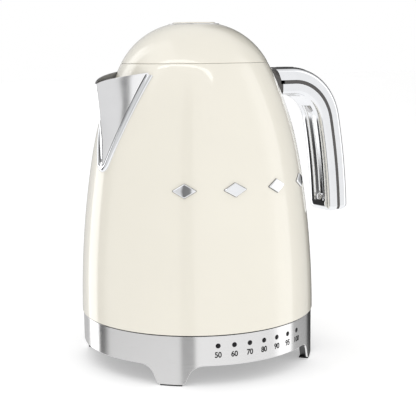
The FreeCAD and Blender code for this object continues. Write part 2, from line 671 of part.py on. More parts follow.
def make_handle():
    outer = new_body("handle_outer_shell")
    handle_sweep(outer, "AdditivePipe",
                 half_section("grip_half", "strip_half + trim_gap", "grip_out", "out_corner", 1))
    handle_sweep(outer, "SubtractivePipe",
                 half_section("grip_half - grip_wall", "strip_half - 0.5", "grip_out - grip_wall",
                              "out_corner - grip_wall", 1), "0.25")
    button_window(outer, "0.3")

    inner = new_body("handle_inner_shell_blank")
    solid = half_section("grip_half", "strip_half + trim_gap", "grip_in", "in_corner", -1)
    channel = [("-channel_half - 0.6", "-grip_in"), ("-channel_half", "-grip_in + channel_depth"),
               ("channel_half", "-grip_in + channel_depth"), ("channel_half + 0.6", "-grip_in")]
    handle_sweep(inner, "AdditivePipe", solid[:3] + channel + solid[3:])
    handle_sweep(inner, "SubtractivePipe",
                 half_section("grip_half - grip_wall", "strip_half - 0.5",
                              "grip_in - channel_depth - grip_wall", "in_corner - 2", -1), "0.25")
    PARTS.remove(inner)
    cutters = handle_rods("plug_hole", "plug_radius + trim_gap", "grip_in + 1", "grip_in - 4")
    holes = boolean("plug_holes", "Compound", cutters, keep=False)
    boolean("handle_inner_shell", "Cut", (inner, holes))

    core = new_body("handle_core_blank")
    for half, depth, shorter in (("grip_half", "strip_half", "0"), ("core_half", "core_depth", "0.35")):
        handle_sweep(core, "AdditivePipe", [(f"-{half}", f"-{depth}"), (half, f"-{depth}"),
                                            (half, depth), (f"-{half}", depth)], shorter)
    slot = new_sketch(core, "XY", away="handle_level - 0.4")
    box_outline(slot, "handle_root - 1", "stem_far + 0.4", "-latch_half - 0.4", "latch_half + 0.4")
    pocket(core, slot, along=True)
    well = new_sketch(core, "XY", away="handle_level - 1.6")
    circle(well, "spring_spot", "0", "3")
    pocket(core, well, along=True)
    PARTS.remove(core)
    cutters = handle_rods("screw_bore", "screw_radius + trim_gap", "core_depth + 1", "-1")
    bores = boolean("screw_bores", "Compound", cutters, keep=False)
    boolean("handle_core", "Cut", (core, bores))

    boolean("handle_plugs", "Compound",
            handle_rods("handle_plug", "plug_radius", "grip_in - channel_depth + 0.5", "grip_in - 2.6"))
    shanks = handle_rods("handle_screw_shank", "screw_radius", "core_depth + 0.5", "0")
    heads = handle_rods("handle_screw_head", "screw_head - 0.2", "core_depth + 2", "core_depth + 0.25")
    screws = [boolean(f"handle_screw_{number + 1}", "MultiFuse", [shank, head], keep=False)
              for number, (shank, head) in enumerate(zip(shanks, heads))]
    boolean("handle_screws", "Compound", screws)


def make_handle_collar():
    """The dark block between the jug and the handle, with the hinge pocket."""
    body = new_body("handle_collar_blank")
    section = new_sketch(body, "YZ", away="50")
    top, edge = "handle_level + grip_out", "handle_level + grip_out - out_corner"
    low, brim = "handle_level - grip_in", "handle_level - grip_in + in_corner"
    outline(section, [
        ("-grip_half", brim), ("-grip_half", edge, "-out_corner"), ("-grip_half + out_corner", top),
        ("grip_half - out_corner", top, "-out_corner"), ("grip_half", edge),
        ("grip_half", brim, "-in_corner"), ("grip_half - in_corner", low),
        ("-grip_half + in_corner", low, "-in_corner")])
    pad(body, section, "handle_root - 50 - trim_gap")
    doc.recompute()
    profile = new_sketch(body, "XZ")
    outline(profile, [("0", "180"), (skin("180", "trim_gap"), "180", "upper_round"),
                      (skin("seam", "trim_gap"), "seam"), ("0", "seam")])
    spin(body, profile, kind="Groove")
    doc.recompute()
    hinge = new_sketch(body, "XZ")
    box_outline(hinge, "40", "hinge_out + knuckle + 3.4", "hinge_up - knuckle - 0.6", "beyond * 6")
    pocket(body, hinge, both=True, length="2 * hinge_half + 2 * play")
    latch = new_sketch(body, "YZ", away="hinge_out")
    box_outline(latch, "-latch_half - 0.4", "latch_half + 0.4", "handle_level - 0.4",
                "handle_level + core_depth")
    pocket(body, latch, along=True)
    PARTS.remove(body)
    bore = rod("collar_pin_bore", "pin_round + 0.03", "2 * pin_half", keep=False)
    nest = rod("collar_spring_nest", "knuckle + 0.4", "5", keep=False)
    for piece, start in ((bore, -value("pin_half")), (nest, value("hinge_half"))):
        piece.Placement = hinge_placement(start)
    cutter = boolean("collar_bores", "MultiFuse", [bore, nest], keep=False)
    boolean("handle_collar", "Cut", (body, cutter))


def hinge_placement(start):
    """A cylinder's placement along the hinge axis, starting at a distance along Y."""
    return Placement(Vector(value("hinge_out"), start, value("hinge_up")), Rotation(Vector(1, 0, 0), -90))


def coil(radius, wire, pitch, height):
    """A round wire spring along Z."""
    helix = Part.makeHelix(pitch, height, radius)
    start = Part.Wire([Part.makeCircle(wire / 2, Vector(radius, 0, 0), Vector(0, 1, 0))])
    return Part.Wire(helix.Edges).makePipeShell([start], True, True)


# ---------------------------------------------------------------- lid, its release and the filter

def make_lid():
    inner = "dome_round - lid_wall"

    def lining(height):
        return f"dome_out + sqrt(({inner}) * ({inner}) - ({height} - dome_up) * ({height} - dome_up))"

    dome = turned("lid_dome", [
        (skin("lid_edge"), "lid_edge", "dome_round"), (skin("lid_top"), "lid_top"),
        ("disc_stem + 0.1", "lid_top"), ("disc_stem + 0.1", "lid_top - lid_wall"),
        (lining("lid_top - lid_wall"), "lid_top - lid_wall", f"-({inner})"),
        (lining("lid_edge"), "lid_edge")])
    notch = new_sketch(dome, "XZ")
    box_outline(notch, "44", "60", "lid_edge - 1", "lid_edge + 3.6")
    pocket(dome, notch, both=True, length="2 * hinge_half + 2 * play")
    turned("lid_top_disc", [
        ("0", "lid_top - 6"), ("disc_stem", "lid_top - 6"), ("disc_stem", "lid_top"),
        ("disc_radius", "lid_top"), ("disc_radius", "disc_high - 0.6"),
        ("disc_radius - 0.6", "disc_high"), ("0", "disc_high")])
    turned("lid_inner_plate", [
        ("0", "lid_plug_low"), ("lid_plug", "lid_plug_low"), ("lid_plug", "lid_edge"),
        ("lid_plug + 4.6", "lid_edge"), ("lid_plug + 4.6", "lid_edge + 1.2"),
        ("lid_plug - plug_wall", "lid_edge + 1.2"), ("lid_plug - plug_wall", "lid_plug_low + plug_wall"),
        ("0", "lid_plug_low + plug_wall")])
    turned("lid_seal", ring_steps("lid_plug + 3", "lid_plug + 5.3", "lid_edge - 0.7", "lid_edge"))


def make_lid_hinge():
    """The lid's arm reaches over the mouth's rim to a knuckle inside the handle's collar."""
    arm = new_body("lid_hinge_arm")
    side = new_sketch(arm, "XZ")
    outline(side, [
        ("lid_plug - 0.5", "lid_edge + 1.3"), ("lid_plug + 5", "lid_edge + 1.3"),
        ("lid_plug + 5", "lid_edge + 0.5"), ("lid_plug + 8.6", "lid_edge + 0.5"),
        ("hinge_out - 5.2", "hinge_up + 4.4"), ("hinge_out - 2.6", "hinge_up + 0.2"),
        ("hinge_out", "hinge_up"), ("hinge_out + 1.9", "hinge_up + 2"), ("hinge_out - 2.4", "hinge_up + 5.2"),
        ("hinge_out - 5.7", "hinge_up + 8.9"), ("lid_plug + 7.3", "lid_edge + 2.4"),
        ("lid_plug + 4.5", "lid_edge + 3.2"), ("lid_plug - 0.5", "lid_edge + 3.2")])
    pad(arm, side, "2 * hinge_half", both=True)
    knuckle = new_sketch(arm, "XZ")
    circle(knuckle, "hinge_out", "hinge_up", "knuckle")
    pad(arm, knuckle, "2 * hinge_half", both=True)
    bore = new_sketch(arm, "XZ")
    circle(bore, "hinge_out", "hinge_up", "pin_round + running")
    pocket(arm, bore, both=True)
    pin = rod("hinge_pin", "pin_round", "2 * pin_half")
    pin.Placement = hinge_placement(-value("pin_half"))
    spring = doc.addObject("Part::Feature", "lid_spring")
    spring.Label = "lid_spring"
    spring.Shape = coil(2.2, 0.7, 1.0, 3.6)
    spring.Placement = hinge_placement(value("hinge_half + 0.7"))
    PARTS.append(spring)


def make_release():
    cap = block("release_cap", ("release_near", "-release_half", "handle_level + 6.4"),
                ("release_far", "release_half", "release_top"), keep=False)
    stem = block("release_stem", ("stem_near", "-stem_half", "handle_level + 2.2"),
                 ("stem_far", "stem_half", "handle_level + 6.4"), keep=False)
    boolean("lid_release_button", "MultiFuse", [cap, stem])
    spring = doc.addObject("Part::Feature", "lid_button_spring")
    spring.Label = "lid_button_spring"
    spring.Shape = coil(2.2, 0.5, 1.75, 7.1)
    spring.Placement = Placement(Vector(value("spring_spot"), 0, value("handle_level - 1.25")), Rotation())
    PARTS.append(spring)
    block("lid_latch", ("latch_near", "-latch_half", "handle_level + 0.2"),
          ("latch_far", "latch_half", "handle_level + 3.4"))


def leaning(label, low, high, keep=False):
    """A box in the filter's own frame: X in from the jug's wall, Z up along the rails."""
    box = doc.addObject("Part::Box", label)
    box.Label = label
    for size, first, last in zip(("Length", "Width", "Height"), low, high):
        box.setExpression(size, bind(f"({last}) - ({first})"))
    corner = Vector(*(value(part) for part in low))
    frame = Placement(Vector(-value("filter_foot"), 0, value("filter_low")),
                      Rotation(Vector(0, 1, 0), value("filter_lean")))
    box.Placement = frame.multiply(Placement(corner, Rotation()))
    if keep:
        PARTS.append(box)
    return box


def make_filter():
    plate = leaning("filter_plate", ("0", "-filter_half", "0"),
                    ("filter_thick", "filter_half", "filter_tall"))
    window = leaning("filter_window", ("-1", "-filter_half + filter_rim", "filter_rim"),
                     ("filter_thick + 1", "filter_half - filter_rim", "filter_tall - filter_rim"))
    boolean("filter_frame", "Cut", (plate, window))
    leaning("filter_mesh", ("0.8", "-filter_half + filter_rim", "filter_rim"),
            ("1.4", "filter_half - filter_rim", "filter_tall - filter_rim"), keep=True)
    rails = []
    for number, side in enumerate((1, -1), 1):
        near, far = f"{side} * (filter_half + play)", f"{side} * (filter_half + play + rail_wide)"
        lip = f"{side} * (filter_half - rail_lip)"
        first, last = (lip, far) if side > 0 else (far, lip)
        rail = leaning(f"rail_{number}", ("-play - 1", first, "-2.3"),
                       ("filter_thick + play + 1", last, "filter_tall"))
        first, last = (f"{lip} - 1", near) if side > 0 else (near, f"{lip} + 1")
        slot = leaning(f"rail_slot_{number}", ("-play", first, "-play"),
                       ("filter_thick + play", last, "filter_tall + 1"))
        rails.append(boolean(f"rail_cut_{number}", "Cut", (rail, slot), keep=False))
    stop = leaning("filter_stop", ("-play - 1", "-filter_half + rail_lip", "-2.3"),
                   ("filter_thick + play + 1", "filter_half - rail_lip", "-play"))
    boolean("filter_guides", "MultiFuse", rails + [stop])


# ---------------------------------------------------------------- assembly

def export():
    """Check every object and sub-part, then write one STEP file for each."""
    doc.recompute()
    for item in doc.Objects:
        if "Invalid" in item.State or "Error" in item.State:
            raise RuntimeError(f"{item.Label} is {item.State}")
    os.makedirs("parts", exist_ok=True)
    for part in PARTS:
        shape = part.Shape
        if shape.isNull() or not shape.isValid() or shape.Volume <= 0:
            raise RuntimeError(f"{part.Label} has no valid shape")
        shape.exportStep(f"parts/{part.Label}.step")
        print(f"{part.Label:24s} {len(shape.Solids):3d} solids {shape.Volume:12.1f} mm3")
    print(len(PARTS), "sub-parts")


make_base_ring()
make_base_plates()
make_base_screws()
make_foot_pads()
make_base_connector()
make_base_electronics()
make_base_button("start_button", "-button_spread")
make_base_button("temperature_button", "button_spread")
make_cord_gland()
make_jug_shell()
make_level_window()
make_badges()
make_spout()
make_spout_trim()
make_jug_inside()
make_jug_underside()
make_handle()
make_handle_collar()
make_lid()
make_lid_hinge()
make_release()
make_filter()
export()
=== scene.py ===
"""The looks of the electric kettle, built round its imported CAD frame.

The frame is the CAD's: +Z up, the origin where the swivel axis meets the worktop, the spout along -X,
the handle along +X and the row of lamps facing -Y. Sizes here are millimetres; make_piece turns them
into Blender's metres.
"""
import json
import math

import bmesh
import bpy
from mathutils import Matrix, Vector


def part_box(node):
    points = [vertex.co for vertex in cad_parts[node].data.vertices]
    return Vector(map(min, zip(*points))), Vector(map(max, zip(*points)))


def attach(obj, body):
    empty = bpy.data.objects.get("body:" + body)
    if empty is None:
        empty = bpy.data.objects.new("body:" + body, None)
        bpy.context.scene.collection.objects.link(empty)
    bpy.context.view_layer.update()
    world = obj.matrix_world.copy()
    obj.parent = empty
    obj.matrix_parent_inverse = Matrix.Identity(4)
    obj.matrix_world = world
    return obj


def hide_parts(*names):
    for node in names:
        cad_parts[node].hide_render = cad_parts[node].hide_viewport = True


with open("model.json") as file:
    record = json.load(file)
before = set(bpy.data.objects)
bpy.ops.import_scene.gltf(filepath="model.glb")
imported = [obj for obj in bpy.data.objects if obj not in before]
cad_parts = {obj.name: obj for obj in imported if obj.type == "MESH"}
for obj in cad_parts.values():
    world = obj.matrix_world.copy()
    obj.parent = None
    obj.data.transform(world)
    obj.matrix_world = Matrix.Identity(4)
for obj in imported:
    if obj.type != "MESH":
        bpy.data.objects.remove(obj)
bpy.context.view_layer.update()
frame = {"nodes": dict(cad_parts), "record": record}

MM = 0.001


def span(node):
    """A CAD node's lowest and highest corners, in millimetres."""
    low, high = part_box(node)
    return low / MM, high / MM


# ---------------- sizes

# the jug's and lid's outline: arcs, each as (centre out from the axis, centre up, radius)
LOWER_ARC = (-589.44, 32.4, 675.2)
UPPER_ARC = (-147.36, 110.73, 226.2)
DOME_ARC = (5.45, 190.62, 53.82)
WAIST = 150.21
JUG_LOW, JUG_HIGH = (corner.z for corner in span("jug_shell"))
LID_LOW, LID_HIGH = (corner.z for corner in span("lid_dome"))
DISC_RADIUS, DISC_HIGH = span("lid_top_disc")[1].x, span("lid_top_disc")[1].z
WALL, LID_WALL = 1.0, 1.2
EDGE = 0.45                     # the small rounding on pressed steel edges
PLAY = 0.3                      # the gap round a part that sits in an opening
ROOTED = 0.3                    # how far a piece that stands on the skin reaches into it
SEAM_FILL = 0.3                 # the jug's rolled rim, which closes most of the gap under the lid
SPOUT_HOLE_LOW, SPOUT_HOLE_HIGH, SPOUT_HOLE_HALF = 152.3, 204, 17
CAP_STEM, CAP_HOLE, CAP_DEPTH, CAP_CROWN, CAP_ROUND = 3, 3.1, 6, 0.15, 0.8      # the lid's round cap
CAP_RING_RADIUS, CAP_RING_THICK = 18.3, 0.5
TURN_STEPS = 256                # facets round a turned piece

# base ring
RING_RADIUS = span("base_ring")[1].x
RING_LOW, RING_TOP = (corner.z for corner in span("base_ring"))
RING_WALL, LIP_RADIUS = 1.2, 82.0
ARCH_ROOF, ARCH_LEAN, ARCH_ROUND, FOOT_ROUND = 14.1, 19.5, 9.5, 2.6
ARCH_HALF = 53.5                # where an arch's leaning edge would meet the worktop
LEG_TURN = 45                   # degrees from an arch's middle to a leg's
NUMBERS = ("50", "60", "70", "80", "90", "95", "100")
NUMBER_LOW, NUMBER_TALL, NUMBER_NARROW, NUMBER_BOLD = 19.9, 3.9, 0.92, 0.14
INK_PROUD = 0.03
LAMP_STEP, LAMP_HEIGHT, LAMP_RADIUS, LENS_PROUD = 7.7, 28.0, 1.75, 0.35
LAMP_TURNS = [LAMP_STEP * (number - (len(NUMBERS) - 1) / 2) for number in range(len(NUMBERS))]
GUIDE_IN, GUIDE_OUT, GUIDE_HALF, GUIDE_TURN = 80.2, 82.8, 2.6, 25        # the bar behind the lenses
BEHIND_RING = 81.5              # just inside the ring, where the lenses and buttons' barrels start
BUTTON_HEIGHT, BUTTON_RADIUS, BUTTON_FACE = 24.5, 5.0, span("start_button")[1].x
BUTTON_SPREAD = 13.0
BUTTON_FLANGE, FLANGE_BACK, STEM_BACK = 6.2, 80, 76.2
CUT_FROM, CUT_LENGTH = 70, 20   # where the cutters for lamps and buttons start, and how long they are

# handle: its middle line is a straight root, a tight bend and a long gentle bend
HANDLE_ROOT, HANDLE_LEVEL, BEND_START = 72.5, 199.8, 83.0
BEND_ROUND, BEND_TURN, GRIP_ROUND, GRIP_TURN = 36.0, 78.5, 458.0, 9.4
GRIP_HALF, GRIP_OUT, GRIP_IN, STRIP_HALF = 13.0, 10.3, 9.7, 1.35
OUT_CORNER, IN_CORNER = 7.5, 5.0
END_ROUND = 4.2
STRIP_SHORT, STRIP_IN, STRIP_LAP = 0.4, 0.5, 0.2        # how the dark strip sits in its shells
OUTER_START, INNER_START, ROOT_LEAN = -3.0, -1.3, 0.42      # the roots follow the jug's slope
CHANNEL_HALF, CHANNEL_FLOOR, CHANNEL_DEPTH = 5.6, 4.8, 1.3
GROOVE_HALF, GROOVE_FLOOR, GROOVE_DEPTH = 0.8, 0.35, 0.7
INLAY_HALF, INLAY_LOW, INLAY_PROUD = 6.6, 8.6, 0.75
HINGE_HALF = 5.3
HINGE_POCKET = ((40, -HINGE_HALF, 201.2), (69.2, HINGE_HALF, 240))      # the lid's hinge arm swings in it
PUSH_THICK = 2.4                # the lid's button: thin enough to clear its spring when it is pressed

# spout: at each height, how far its nose reaches and how wide it is at the jug's skin
BEAK = ((144.5, 77.9, 0.9), (150.0, 77.1, 4.4), (165.0, 77.0, 11.6), (187.0, 78.4, 18.0),
        (202.5, 80.1, 21.4), (213.0, 82.5, 23.6))
MOUTH_NOSE, MOUTH_ROOT = 202.5, 210.0
BEAK_WALL, NOSE_HALF, SIDE_SWELL = 1.2, 1.25, 0.08
RIM_HOLLOW = 0.62               # how the rim rises from the nose to the root: 1 would be straight
BEAD_WIDTH, BEAD_PROUD, BEAD_LOW, BEAD_TOP = 5.0, 1.9, 141.4, (24.6, 208.0)
BEAD_NOSE_ROUND, BEAD_LIMB_ROUND, BEAD_SPREAD = 8.65, 220, 20.5
# a black strip along the bead's inner edge: painted shade in the crease between bead and spout
CREASE_SHADE_WIDTH, CREASE_SHADE_PROUD, CREASE_SHADE_LAP = 1.1, 1.45, 0.35

# badges and water gauge
BADGE_STEP, BADGE_HALF, BADGE_PROUD = 25.3, 8.3, 1.5
SURROUND_WIDTH, SURROUND_PROUD, SURROUND_INSET, SURROUND_ROUND = 2.6, 1.2, 1.25, 3.2

# spout filter, in the plane its frame leans in
FILTER_LEAN, FILTER_FOOT = 17.25, (-68.5, 0, 158.0)
GAUZE_HALF, GAUZE_LOW, GAUZE_HIGH, GAUZE_PITCH, WIRE_RADIUS = 14.5, 2.5, 33.0, 1.3, 0.22
UPRIGHT_DEPTH, CROSS_DEPTH = 0.95, 1.25

# camera, fitted to the photo's circles: metres and radians, and the lens in millimetres
CAMERA_TURN = math.radians(33)  # how far it stands round from -Y towards the spout
CAMERA_AWAY, CAMERA_ASIDE, CAMERA_HIGH = 0.7344, 0.0088, 0.2265
CAMERA_DIP, CAMERA_ROLL = 0.1591, -0.0109
FOCAL_LENGTH, SENSOR_WIDTH = 86.68, 36


# ---------------- shapes

def skin(height, out=0.0):
    """The jug's or lid's outer radius at a height."""
    arc = LOWER_ARC if height <= WAIST else UPPER_ARC if height < LID_LOW - 0.1 else DOME_ARC
    return arc[0] + math.sqrt(arc[2] ** 2 - (height - arc[1]) ** 2) + out


def skin_normal(height):
    """How the skin faces at a height, as (out, up)."""
    arc = LOWER_ARC if height <= WAIST else UPPER_ARC if height < LID_LOW - 0.1 else DOME_ARC
    rise = (height - arc[1]) / arc[2]
    return math.sqrt(1 - rise * rise), rise


def polar(radius, turn, height):
    """A point at a radius and an angle in degrees, measured from +X towards +Y."""
    angle = math.radians(turn)
    return Vector((radius * math.cos(angle), radius * math.sin(angle), height))


def on_skin(across, height, proud, turn):
    """A point on the jug seen from outside at an angle: across to its left, and proud of its skin."""
    radius = skin(height)
    out, up = skin_normal(height)
    angle = turn + math.degrees(math.asin(across / radius))
    return polar(radius + proud * out, angle, height + proud * up)


def arc_between(start, end, radius, steps):
    """Points along an arc that turns left (positive radius) or right from start to end."""
    start, end = Vector(start), Vector(end)
    chord = end - start
    across = Vector((-chord.y, chord.x)).normalized()
    rise = math.sqrt(max(radius * radius - chord.length_squared / 4, 0))
    centre = (start + end) / 2 + across * math.copysign(rise, radius)
    first, last = start - centre, end - centre
    turn = first.angle_signed(last)          # Blender counts this angle clockwise
    return [centre + Matrix.Rotation(-turn * step / steps, 2) @ first for step in range(steps + 1)]


def rounded(points, radii, steps=4, closed=True):
    """The outline with each corner turned into an arc of its radius."""
    points = [Vector(point) for point in points]
    made = []
    for number, (point, radius) in enumerate(zip(points, radii)):
        last = number == len(points) - 1
        if radius <= 0 or (not closed and (number == 0 or last)):
            made.append(point)
            continue
        before = points[number - 1] - point
        after = points[0 if last else number + 1] - point
        half = before.angle(after) / 2
        reach = min(radius / math.tan(half), before.length * 0.49, after.length * 0.49)
        radius = reach * math.tan(half)
        middle = (before.normalized() + after.normalized()).normalized() * (radius / math.sin(half))
        first, end = before.normalized() * reach - middle, after.normalized() * reach - middle
        sweep = first.angle_signed(end)
        made += [point + middle + Matrix.Rotation(-sweep * step / steps, 2) @ first
                 for step in range(steps + 1)]
    return made


def skin_line(low, high, out=0.0, step=4.0):
    """(radius, height) points up the skin."""
    count = max(2, round((high - low) / step))
    heights = [low + (high - low) * number / count for number in range(count + 1)]
    return [(skin(height, out), height) for height in heights]


# ---------------- pieces

def make_piece(name, points, faces, *finishes):
    """A mesh object from points in millimetres, with its normals facing out."""
    mesh = bpy.data.meshes.new(name)
    mesh.from_pydata([Vector(point) * MM for point in points], [], faces)
    tidy = bmesh.new()
    tidy.from_mesh(mesh)
    bmesh.ops.remove_doubles(tidy, verts=tidy.verts, dist=1e-7)
    bmesh.ops.recalc_face_normals(tidy, faces=tidy.faces)
    tidy.to_mesh(mesh)
    tidy.free()
    piece = bpy.data.objects.new(name, mesh)
    bpy.context.scene.collection.objects.link(piece)
    for finish in finishes:
        mesh.materials.append(finish)
    return piece


def loft(name, rings, *finishes, closed=False):
    """A solid through rings of points, all of one length: closed into a loop, or with capped ends."""
    count, size = len(rings), len(rings[0])
    points = [point for ring in rings for point in ring]
    faces = []
    for ring in range(count if closed else count - 1):
        here, there = ring * size, (ring + 1) % count * size
        for spot in range(size):
            after = (spot + 1) % size
            faces.append((here + spot, here + after, there + after, there + spot))
    if not closed:
        faces += [tuple(range(size)), tuple(range((count - 1) * size, count * size))]
    return make_piece(name, points, faces, *finishes)


def lathe(name, outline, *finishes, steps=TURN_STEPS):
    """A closed outline of (radius, height) points, turned about Z."""
    rings = [[polar(radius, 360 * step / steps, height) for radius, height in outline]
             for step in range(steps)]
    return loft(name, rings, *finishes, closed=True)


def bake(piece):
    """Apply a piece's modifiers to its mesh."""
    graph = bpy.context.evaluated_depsgraph_get()
    mesh = bpy.data.meshes.new_from_object(piece.evaluated_get(graph))
    piece.modifiers.clear()
    piece.data = mesh


def carve(piece, *cutters):
    """Cut other pieces out of a piece, and delete them."""
    for cutter in cutters:
        cut = piece.modifiers.new("cut", "BOOLEAN")
        cut.operation, cut.solver, cut.object = "DIFFERENCE", "EXACT", cutter
    bake(piece)
    for cutter in cutters:
        bpy.data.objects.remove(cutter)


def box_cutter(low, high):
    """A box between two corners, for carve."""
    corners = [[Vector((x, y, z)) for x, y in ((low[0], low[1]), (high[0], low[1]),
                                               (high[0], high[1]), (low[0], high[1]))]
               for z in (low[2], high[2])]
    return loft("cutter", corners)


def rod_rings(place, stations, steps=32):
    """Rings of a turned solid along a placement's Z, from (radius, distance) stations."""
    return [[place @ polar(radius, 360 * step / steps, along) for step in range(steps)]
            for radius, along in stations]


def facing(origin, direction):
    """A placement at a point whose Z looks along a direction."""
    return Matrix.Translation(origin) @ Vector(direction).to_track_quat("Z", "Y").to_matrix().to_4x4()


def join(name, pieces):
    """One piece from several, keeping their materials."""
    merged = bmesh.new()
    finishes = []
    for piece in pieces:
        mesh = piece.data
        for finish in mesh.materials:
            if finish not in finishes:
                finishes.append(finish)
        shift = [finishes.index(finish) for finish in mesh.materials]
        for face in mesh.polygons:
            face.material_index = shift[face.material_index]
        merged.from_mesh(mesh)
        bpy.data.objects.remove(piece)
    mesh = bpy.data.meshes.new(name)
    merged.to_mesh(mesh)
    merged.free()
    whole = bpy.data.objects.new(name, mesh)
    bpy.context.scene.collection.objects.link(whole)
    for finish in finishes:
        mesh.materials.append(finish)
    return whole


def exact_normals(piece, rule):
    """Give faces cut out of a smooth surface that surface's own normals, where the rule knows them."""
    mesh = piece.data
    normals = [corner.vector.copy() for corner in mesh.corner_normals]
    for face in mesh.polygons:
        for loop, vertex in zip(face.loop_indices, face.vertices):
            exact = rule(mesh.vertices[vertex].co / MM, face.normal)
            if exact is not None:
                normals[loop] = exact
    mesh.normals_split_custom_set(normals)


def settle(piece, body, slot, *nodes, sharp=32.0, rule=None):
    """Shade a piece, fasten it to its body and hide the CAD nodes it stands for."""
    mesh = piece.data
    mesh.polygons.foreach_set("use_smooth", [True] * len(mesh.polygons))
    mesh.set_sharp_from_angle(angle=math.radians(sharp))
    if rule:
        exact_normals(piece, rule)
    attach(piece, body)
    if nodes:
        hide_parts(*nodes)


# ---------------- materials

CREAM = (0.875, 0.838, 0.735)
NOISE_LOW, NOISE_HIGH = 0.3, 0.7        # most of the noise texture's values lie between these


def new_finish(name, colour, rough, metal=0.0, **sockets):
    """A Principled material; sockets holds more of the shader's inputs by name, with _ for a space."""
    finish = bpy.data.materials.new(name)
    finish.use_nodes = True
    shader = finish.node_tree.nodes["Principled BSDF"]
    shader.inputs["Base Color"].default_value = (*colour, 1)
    shader.inputs["Roughness"].default_value = rough
    shader.inputs["Metallic"].default_value = metal
    for socket, level in sockets.items():
        shader.inputs[socket.replace("_", " ")].default_value = level
    return finish


def grain(finish, size, stretch=(1, 1, 1), tint=0.0, rough=0.0, bump=0.0, depth=0.02, detail=4.0):
    """Noise of a size in millimetres that varies a finish's colour and roughness and bumps its surface."""
    tree = finish.node_tree
    link = tree.links.new
    shader = tree.nodes["Principled BSDF"]
    place = tree.nodes.new("ShaderNodeTexCoord")
    scale = tree.nodes.new("ShaderNodeMapping")
    scale.inputs["Scale"].default_value = stretch
    noise = tree.nodes.new("ShaderNodeTexNoise")
    noise.inputs["Scale"].default_value = 1 / (size * MM)
    noise.inputs["Detail"].default_value = detail
    link(place.outputs["Object"], scale.inputs["Vector"])
    link(scale.outputs["Vector"], noise.inputs["Vector"])
    if tint:
        ramp = tree.nodes.new("ShaderNodeValToRGB")
        base = shader.inputs["Base Color"].default_value[:3]
        dark, light = ramp.color_ramp.elements
        dark.position, light.position = NOISE_LOW, NOISE_HIGH
        dark.color = (*(part * (1 - tint) for part in base), 1)
        light.color = (*(min(part * (1 + tint), 1) for part in base), 1)
        link(noise.outputs["Fac"], ramp.inputs["Fac"])
        link(ramp.outputs["Color"], shader.inputs["Base Color"])
    if rough:
        level = shader.inputs["Roughness"].default_value
        spread = tree.nodes.new("ShaderNodeMapRange")
        spread.inputs["From Min"].default_value = NOISE_LOW
        spread.inputs["From Max"].default_value = NOISE_HIGH
        spread.inputs["To Min"].default_value = max(level - rough, 0.02)
        spread.inputs["To Max"].default_value = level + rough
        link(noise.outputs["Fac"], spread.inputs["Value"])
        link(spread.outputs["Result"], shader.inputs["Roughness"])
    if bump:
        relief = tree.nodes.new("ShaderNodeBump")
        relief.inputs["Strength"].default_value = bump
        relief.inputs["Distance"].default_value = depth * MM
        link(noise.outputs["Fac"], relief.inputs["Height"])
        if shader.inputs["Normal"].links:
            link(shader.inputs["Normal"].links[0].from_socket, relief.inputs["Normal"])
        link(relief.outputs["Normal"], shader.inputs["Normal"])
    return finish


def round_tangent(finish):
    """Turn a brushed finish's highlight about Z, as brushing round a ring does."""
    tree = finish.node_tree
    tangent = tree.nodes.new("ShaderNodeTangent")
    tangent.direction_type, tangent.axis = "RADIAL", "Z"
    tree.links.new(tangent.outputs["Tangent"], tree.nodes["Principled BSDF"].inputs["Tangent"])
    return finish


def make_paint():
    """Gloss cream paint under a clear coat, with a faint orange peel."""
    paint = new_finish("cream_paint", CREAM, 0.32, Coat_Weight=1.0, Coat_Roughness=0.05, Coat_IOR=1.5)
    grain(paint, 60, tint=0.008, detail=1)
    return grain(paint, 1.6, rough=0.03, bump=0.04, depth=0.01, detail=1)


def make_finishes():
    """One finish for each of the record's material slots, and a few more."""
    chrome = grain(new_finish("polished_chrome", (0.86, 0.87, 0.89), 0.05, 1), 9, tint=0.02,
                   rough=0.015, detail=2)
    brushed = new_finish("brushed_steel", (0.78, 0.775, 0.775), 0.2, 1, Anisotropic=0.9,
                         Anisotropic_Rotation=0.25)
    grain(round_tangent(brushed), 8, stretch=(1, 1, 60), tint=0.035, rough=0.04, bump=0.06, depth=0.01)
    stainless = grain(new_finish("bright_stainless", (0.62, 0.62, 0.63), 0.28, 1), 5, stretch=(1, 1, 12),
                      tint=0.05, rough=0.05, bump=0.05, depth=0.01)
    black = grain(new_finish("black_plastic", (0.018, 0.018, 0.02), 0.45), 0.7, tint=0.12, rough=0.06,
                  bump=0.25, depth=0.03)
    grey = grain(new_finish("dark_grey_plastic", (0.085, 0.08, 0.078), 0.42), 0.6, tint=0.06, rough=0.05,
                 bump=0.12, depth=0.02)
    rubber = grain(new_finish("rubber", (0.02, 0.02, 0.02), 0.75), 0.5, tint=0.15, rough=0.08, bump=0.4,
                   depth=0.03)
    brass = grain(new_finish("brass", (0.78, 0.58, 0.27), 0.22, 1), 3, tint=0.06, rough=0.06)
    board = grain(new_finish("circuit_board", (0.02, 0.12, 0.05), 0.4, Coat_Weight=0.4), 2.4, tint=0.25,
                  rough=0.05, bump=0.15)
    lens = grain(new_finish("smoked_lens", (0.006, 0.006, 0.007), 0.22, Specular_IOR_Level=0.25), 1,
                 tint=0.1, rough=0.03)
    window = new_finish("clear_window", (0.86, 0.9, 0.92), 0.08, Transmission_Weight=0.85, IOR=1.5)
    grain(window, 20, tint=0.02, rough=0.02)
    satin = grain(new_finish("satin_chrome", (0.93, 0.93, 0.94), 0.2, 1), 9, tint=0.02, rough=0.03,
                  detail=2)
    # steel for the spout's inside, made much darker than steel as painted shade in the hollow
    spout_inside_shade = grain(new_finish("spout_inside_painted_shade", (0.3, 0.3, 0.31), 0.35, 1), 4, tint=0.06, rough=0.05)
    return {"painted_steel": make_paint(), "chrome": chrome, "satin_chrome": satin,
            "spout_inside_painted_shade": spout_inside_shade, "brushed_steel": brushed,
            "stainless": stainless, "black_plastic": black, "grey_plastic": grey, "brass": brass,
            "circuit_board": board, "lens": lens, "window": window, "rubber": rubber}


FINISH = make_finishes()


